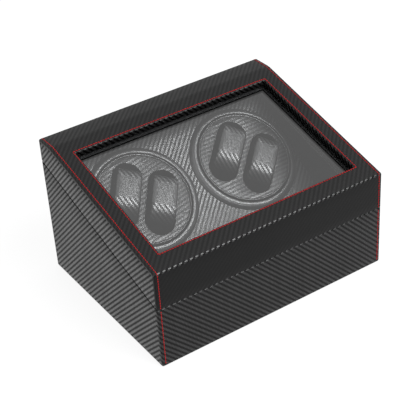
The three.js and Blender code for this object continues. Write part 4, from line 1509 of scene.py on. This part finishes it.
def hinge(side, sx):
    x = sx * HINGE_X
    for body, sz in HINGE_PARTS.items():
        low, high = sorted((sz * LEAF_NEAR, sz * LEAF_FAR))
        curve_plate(
            "hinge_plate_%s_%s" % (body, side), [rounded_rect(-15, 15, low, high, 2.2)],
            LEAF_THICKNESS, 0.25, rear_plane(x, (LEAF_FRONT + LEAF_REAR) / 2, PIN_Z),
            body, NICKEL, "nickel", "hinge_%s_leaf_%s" % (body, side),
        )
        screw_z = PIN_Z + sz * ((LEAF_NEAR + LEAF_FAR) / 2 + 1.5)
        for k, dx in enumerate((-9.5, 9.5)):
            name = "hinge_screw_%s_%s_%d" % (body, side, k + 1)
            screw(name, (x + dx, LEAF_REAR - 0.1, screw_z), body, NICKEL, "nickel")
    for body, tail, x0, x1 in KNUCKLES:
        barrel("hinge_barrel_%s_%s%s" % (body, side, tail), x + x0, x + x1, body)
    for body, tail, x0, x1 in KNUCKLES:
        strap("hinge_strap_%s_%s%s" % (body, side, tail), x + x0 + 0.1, x + x1 - 0.1, body)
    turned(
        "hinge_rod_" + side,
        [
            (0, x - 16), (0.8, x - 16), (1.2, x - 15.6),
            (1.2, x + 15.6), (0.8, x + 16), (0, x + 16),
        ],
        32, (0, PIN_Y, PIN_Z), (1, 0, 0), "base", STEEL, "steel", "hinge_pin_" + side,
    )


for side, sx in SIDES:
    hinge(side, sx)

# ------------------------------------------------------------------ rear controls
PANEL_Z = 48.0
PANEL_THICKNESS = 2.0
PANEL_REAR = HALF_Y + REAR_GAP + PANEL_THICKNESS
SOCKET_X, SWITCH_X = -44.0, -14.0
KNOB_X = {"left": 42.0, "right": 16.0}
# Turned sections are (radius, height out of the panel's rear face).
KNOB_SECTION = [
    (0, -2.2), (3.0, -2.2), (3.0, 1.0), (7.9, 1.0), (8.3, 1.3), (8.4, 1.8), (8.35, 4.0),
    (8.3, 6.5), (8.2, 8.4), (7.9, 9.0), (7.5, 9.3), (7.3, 11.4), (7.0, 11.9), (6.4, 12.1),
    (3.0, 12.2), (0, 12.2),
]
DOT_SECTION = [(0, -0.1), (0.55, -0.1), (0.5, 0.12), (0.3, 0.2), (0, 0.22)]
DOT_CIRCLE = 11.6
SOCKET_SECTION = [
    (2.9, -8), (2.9, 0.9), (3.3, 1.4), (6.2, 1.4), (6.8, 1.0), (6.8, 0.3), (5.0, 0.3),
    (5.0, -17.5), (1.0, -17.5), (1.0, -9), (2.9, -9),
]
SOCKET_PIN_SECTION = [(0, -9), (0.9, -9), (0.9, -1.2), (0.5, -0.6), (0, -0.5)]

curve_plate(
    "control_panel",
    [
        rounded_rect(-62, 62, -21, 21, 4),
        circle(5.4, 48, -SOCKET_X),
        rounded_rect(-SWITCH_X - 7, -SWITCH_X + 7, -10, 10, 0.6, 3),
        circle(3.6, 40, -KNOB_X["left"]),
        circle(3.6, 40, -KNOB_X["right"]),
    ],
    PANEL_THICKNESS, 0.4, rear_plane(0, PANEL_REAR - PANEL_THICKNESS / 2, PANEL_Z),
    "base", BLACK, "black_plastic", "control_plate",
)
for k, (sx, sz) in enumerate(((-1, -1), (1, -1), (-1, 1), (1, 1))):
    spot = (sx * 56.5, PANEL_REAR - 0.1, PANEL_Z + sz * 15.5)
    screw("panel_screw_%d" % (k + 1), spot, "base", STEEL, "steel")


def flutes(angle, radius, height):
    """24 shallow flutes round the knob's grip."""
    grip = radius > 8.0 and 1.6 < height < 8.8
    return radius + (0.28 * math.cos(24 * angle) if grip else 0.0)


for side, x in KNOB_X.items():
    body = "mode_knob_" + side
    turned(
        "knob_grip_" + side, KNOB_SECTION, 144, (x, PANEL_REAR, PANEL_Z), ALONG_Y,
        body, KNOB, "black_plastic", body, radial=flutes, sharp=50,
    )
    curve_plate(
        "knob_pointer_" + side, [rounded_rect(-0.7, 0.7, 1.0, 7.0, 0.5, 4)],
        0.9, 0.2, rear_plane(x, PANEL_REAR + 12.25, PANEL_Z), body, WHITE, "nylon",
    )
    for k in range(7):
        angle = math.radians(-135 + 45 * k)
        dot_x, dot_z = x + DOT_CIRCLE * math.sin(angle), PANEL_Z + DOT_CIRCLE * math.cos(angle)
        turned(
            "panel_dot_%s_%d" % (side, k + 1), DOT_SECTION, 16,
            (dot_x, PANEL_REAR, dot_z), ALONG_Y, "base", WHITE, "nylon",
        )
SOCKET_PLACE = (SOCKET_X, PANEL_REAR, PANEL_Z)
lathe(
    "supply_socket", SOCKET_SECTION, 64, SOCKET_PLACE, ALONG_Y,
    "base", BLACK, "black_plastic", "dc_socket",
)
turned(
    "supply_pin", SOCKET_PIN_SECTION, 24, SOCKET_PLACE, ALONG_Y, "base", NICKEL, "nickel"
)


# ------------------------------------------------------------------ pieces kept from the CAD
def geometry_group(name):
    """An empty geometry group. Returns it with its input and output nodes."""
    group = bpy.data.node_groups.new(name, "GeometryNodeTree")
    for direction in ("INPUT", "OUTPUT"):
        group.interface.new_socket(
            "Geometry", in_out=direction, socket_type="NodeSocketGeometry"
        )
    return group, group.nodes.new("NodeGroupInput"), group.nodes.new("NodeGroupOutput")


def join_group():
    """Joins a solid's split corners."""
    group, source, result = geometry_group("join_corners")
    merge = group.nodes.new("GeometryNodeMergeByDistance")
    merge.inputs["Distance"].default_value = 2e-6
    group.links.new(source.outputs[0], merge.inputs[0])
    group.links.new(merge.outputs[0], result.inputs[0])
    return group


def smooth_group():
    """Marks the sharp edges and smooths the rest."""
    group, source, result = geometry_group("smooth_by_edge")
    smooth = group.nodes.new("GeometryNodeSetShadeSmooth")
    store = group.nodes.new("GeometryNodeStoreNamedAttribute")
    store.data_type, store.domain = "BOOLEAN", "EDGE"
    store.inputs["Name"].default_value = "sharp_edge"
    edge_angle = group.nodes.new("GeometryNodeInputMeshEdgeAngle")
    compare = group.nodes.new("FunctionNodeCompare")
    compare.data_type, compare.operation = "FLOAT", "GREATER_THAN"
    compare.inputs[1].default_value = math.radians(33)
    value = next(s for s in store.inputs if s.name == "Value" and s.enabled)
    group.links.new(source.outputs[0], smooth.inputs[0])
    group.links.new(smooth.outputs[0], store.inputs[0])
    group.links.new(edge_angle.outputs["Unsigned Angle"], compare.inputs[0])
    group.links.new(compare.outputs[0], value)
    group.links.new(store.outputs[0], result.inputs[0])
    return group


JOIN, SMOOTH = join_group(), smooth_group()


def dress(node, material, bevel_width, segments=2):
    """Gives a CAD piece its material, smooth shading and, if a width is given, bevelled edges."""
    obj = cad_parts[node]
    if not obj.material_slots:
        obj.data.materials.append(material)
    for slot in obj.material_slots:
        slot.material = material
    if "custom_normal" in obj.data.attributes:
        obj.data.attributes.remove(obj.data.attributes["custom_normal"])
    for name, group in (("join", JOIN), ("smooth", SMOOTH)):
        obj.modifiers.new(name, "NODES").node_group = group
    if bevel_width:
        bevel = obj.modifiers.new("bevel", "BEVEL")
        bevel.width = bevel_width * MM
        bevel.segments = segments
        bevel.limit_method = "ANGLE"
        bevel.angle_limit = math.radians(36)
        bevel.use_clamp_overlap = True
        bevel.harden_normals = True
    return obj


def face_with(obj, material, normal):
    """Covers the faces that look along a normal with a second material."""
    obj.data.materials.append(material)
    for polygon in obj.data.polygons:
        if polygon.normal.dot(normal) > 0.9:
            polygon.material_index = 1


# The leatherette is turned over the rim of the box, so the rim shows no bare board.
for side in ("front", "rear", "left", "right"):
    face_with(dress("base_%s_panel" % side, BOARD_RIM, 0.3), LEATHER_RIM, SEAM_NORMAL)
# The floor of the box is lined where it shows below the deck.
face_with(dress("base_bottom_panel", BOARD, 0.3), VELVET, Vector((0, 0, 1)))
for part in ("front_rail", "rear_rail", "left_side", "right_side", "top_frame"):
    dress("lid_" + part, VELVET, 0.4)
dress("bottom_felt_sheet", FELT, 0.2)
dress("inner_liner", LINER, 0.6, segments=3)
dress("window_retainer", RETAINER, 0.3)
dress("window_pane", ACRYLIC, 0.3)
dress("winder_deck", LEATHER_DECK, 0.5)
dress("winder_chassis", BLACK, 0.4)
for side, _ in SIDES:
    for part, material, bevel_width in (
        ("bearing_bush_", BRONZE, 0.2),
        ("turntable_axle_", STEEL, 0.2),
        ("turntable_gear_", NYLON, 0.1),
        ("motor_pinion_", NYLON, 0.1),
        ("gear_motor_", STEEL, 0.3),
        ("motor_lead_", CABLE, 0.0),
    ):
        dress(part + side, material, bevel_width)
dress("control_board", PCB, 0.15)
dress("power_switch_frame", BLACK, 0.4)
dress("power_rocker", GLOSS, 0.5, segments=3)


# ------------------------------------------------------------------ floor, light and camera
def floor_material():
    """White floor, partly glowing. The camera sees a flatter white than the box is lit by."""
    mat = Mat("floor_white")
    camera_ray = mat.is_camera_ray()
    diffuse = mat.add("ShaderNodeBsdfDiffuse")
    diffuse.inputs[0].default_value = (0.8, 0.8, 0.8, 1)
    glow = mat.add("ShaderNodeEmission")
    glow.inputs[0].default_value = (1, 1, 1, 1)
    mat.put(glow.inputs[1], mat.lerp(camera_ray, 1.35, 1.0))
    blend = mat.add("ShaderNodeMixShader")
    mat.put(blend.inputs[0], mat.lerp(camera_ray, 0.75, 0.88))
    mat.put(blend.inputs[1], diffuse.outputs[0])
    mat.put(blend.inputs[2], glow.outputs[0])
    return mat.surface(blend.outputs[0])


FLOOR_HALF, FLOOR_Z = 6, -0.0004  # metres
floor_mesh = bpy.data.meshes.new("floor")
floor_mesh.from_pydata(
    [(x * FLOOR_HALF, y * FLOOR_HALF, FLOOR_Z) for x, y in ((-1, -1), (1, -1), (1, 1), (-1, 1))],
    [], [(0, 1, 2, 3)],
)
floor_mesh.materials.append(floor_material())
add_object("floor", floor_mesh)

world = bpy.data.worlds.new("studio")
scene.world = world
world.use_nodes = True
world.node_tree.nodes.clear()
nodes = Nodes(world.node_tree)
world_output = nodes.add("ShaderNodeOutputWorld")
direction = nodes.add("ShaderNodeTexCoord").outputs["Generated"]
strength = nodes.lerp(nodes.is_camera_ray(), sky(nodes, direction), 1.0)
background = nodes.add("ShaderNodeBackground")
nodes.put(background.inputs["Color"], (1, 1, 1, 1))
nodes.put(background.inputs["Strength"], strength)
nodes.put(world_output.inputs["Surface"], background.outputs[0])

LIGHT_DIRECTION = Vector((0.25, -0.6, 0.72)).normalized()
LIGHT_TARGET, LIGHT_DISTANCE = Vector((0, 0, 0.1)), 2.2  # metres
light_data = bpy.data.lights.new("softbox_front", "AREA")
light_data.shape = "SQUARE"
light_data.size = 1.5
light_data.energy = 85
light = add_object("softbox_front", light_data)
light.location = LIGHT_TARGET + LIGHT_DIRECTION * LIGHT_DISTANCE
light.rotation_mode = "QUATERNION"
light.rotation_quaternion = LIGHT_DIRECTION.to_track_quat("Z", "Y")
light.visible_camera = False

camera_data = bpy.data.cameras.new("camera")
camera_data.sensor_width = 36
camera_data.lens = 102.63
camera = add_object("camera", camera_data)
# The camera looks along its own -z. Its axes are made square to each other.
camera_x = Vector((0.82237, -0.56633, -0.05453)).normalized()
camera_z = Vector((-0.44479, -0.69972, 0.55907)).normalized()
camera_y = camera_z.cross(camera_x).normalized()
camera_x = camera_y.cross(camera_z).normalized()
CAMERA_PLACE = Vector((-0.6667, -1.0363, 0.9170))  # metres
camera.matrix_world = axes_matrix(CAMERA_PLACE, camera_x, camera_y, camera_z)
scene.camera = camera
scene.view_settings.view_transform = "Standard"
scene.view_settings.look = "None"
scene.cycles.transparent_max_bounces = 16
scene.cycles.sample_clamp_indirect = 6.0
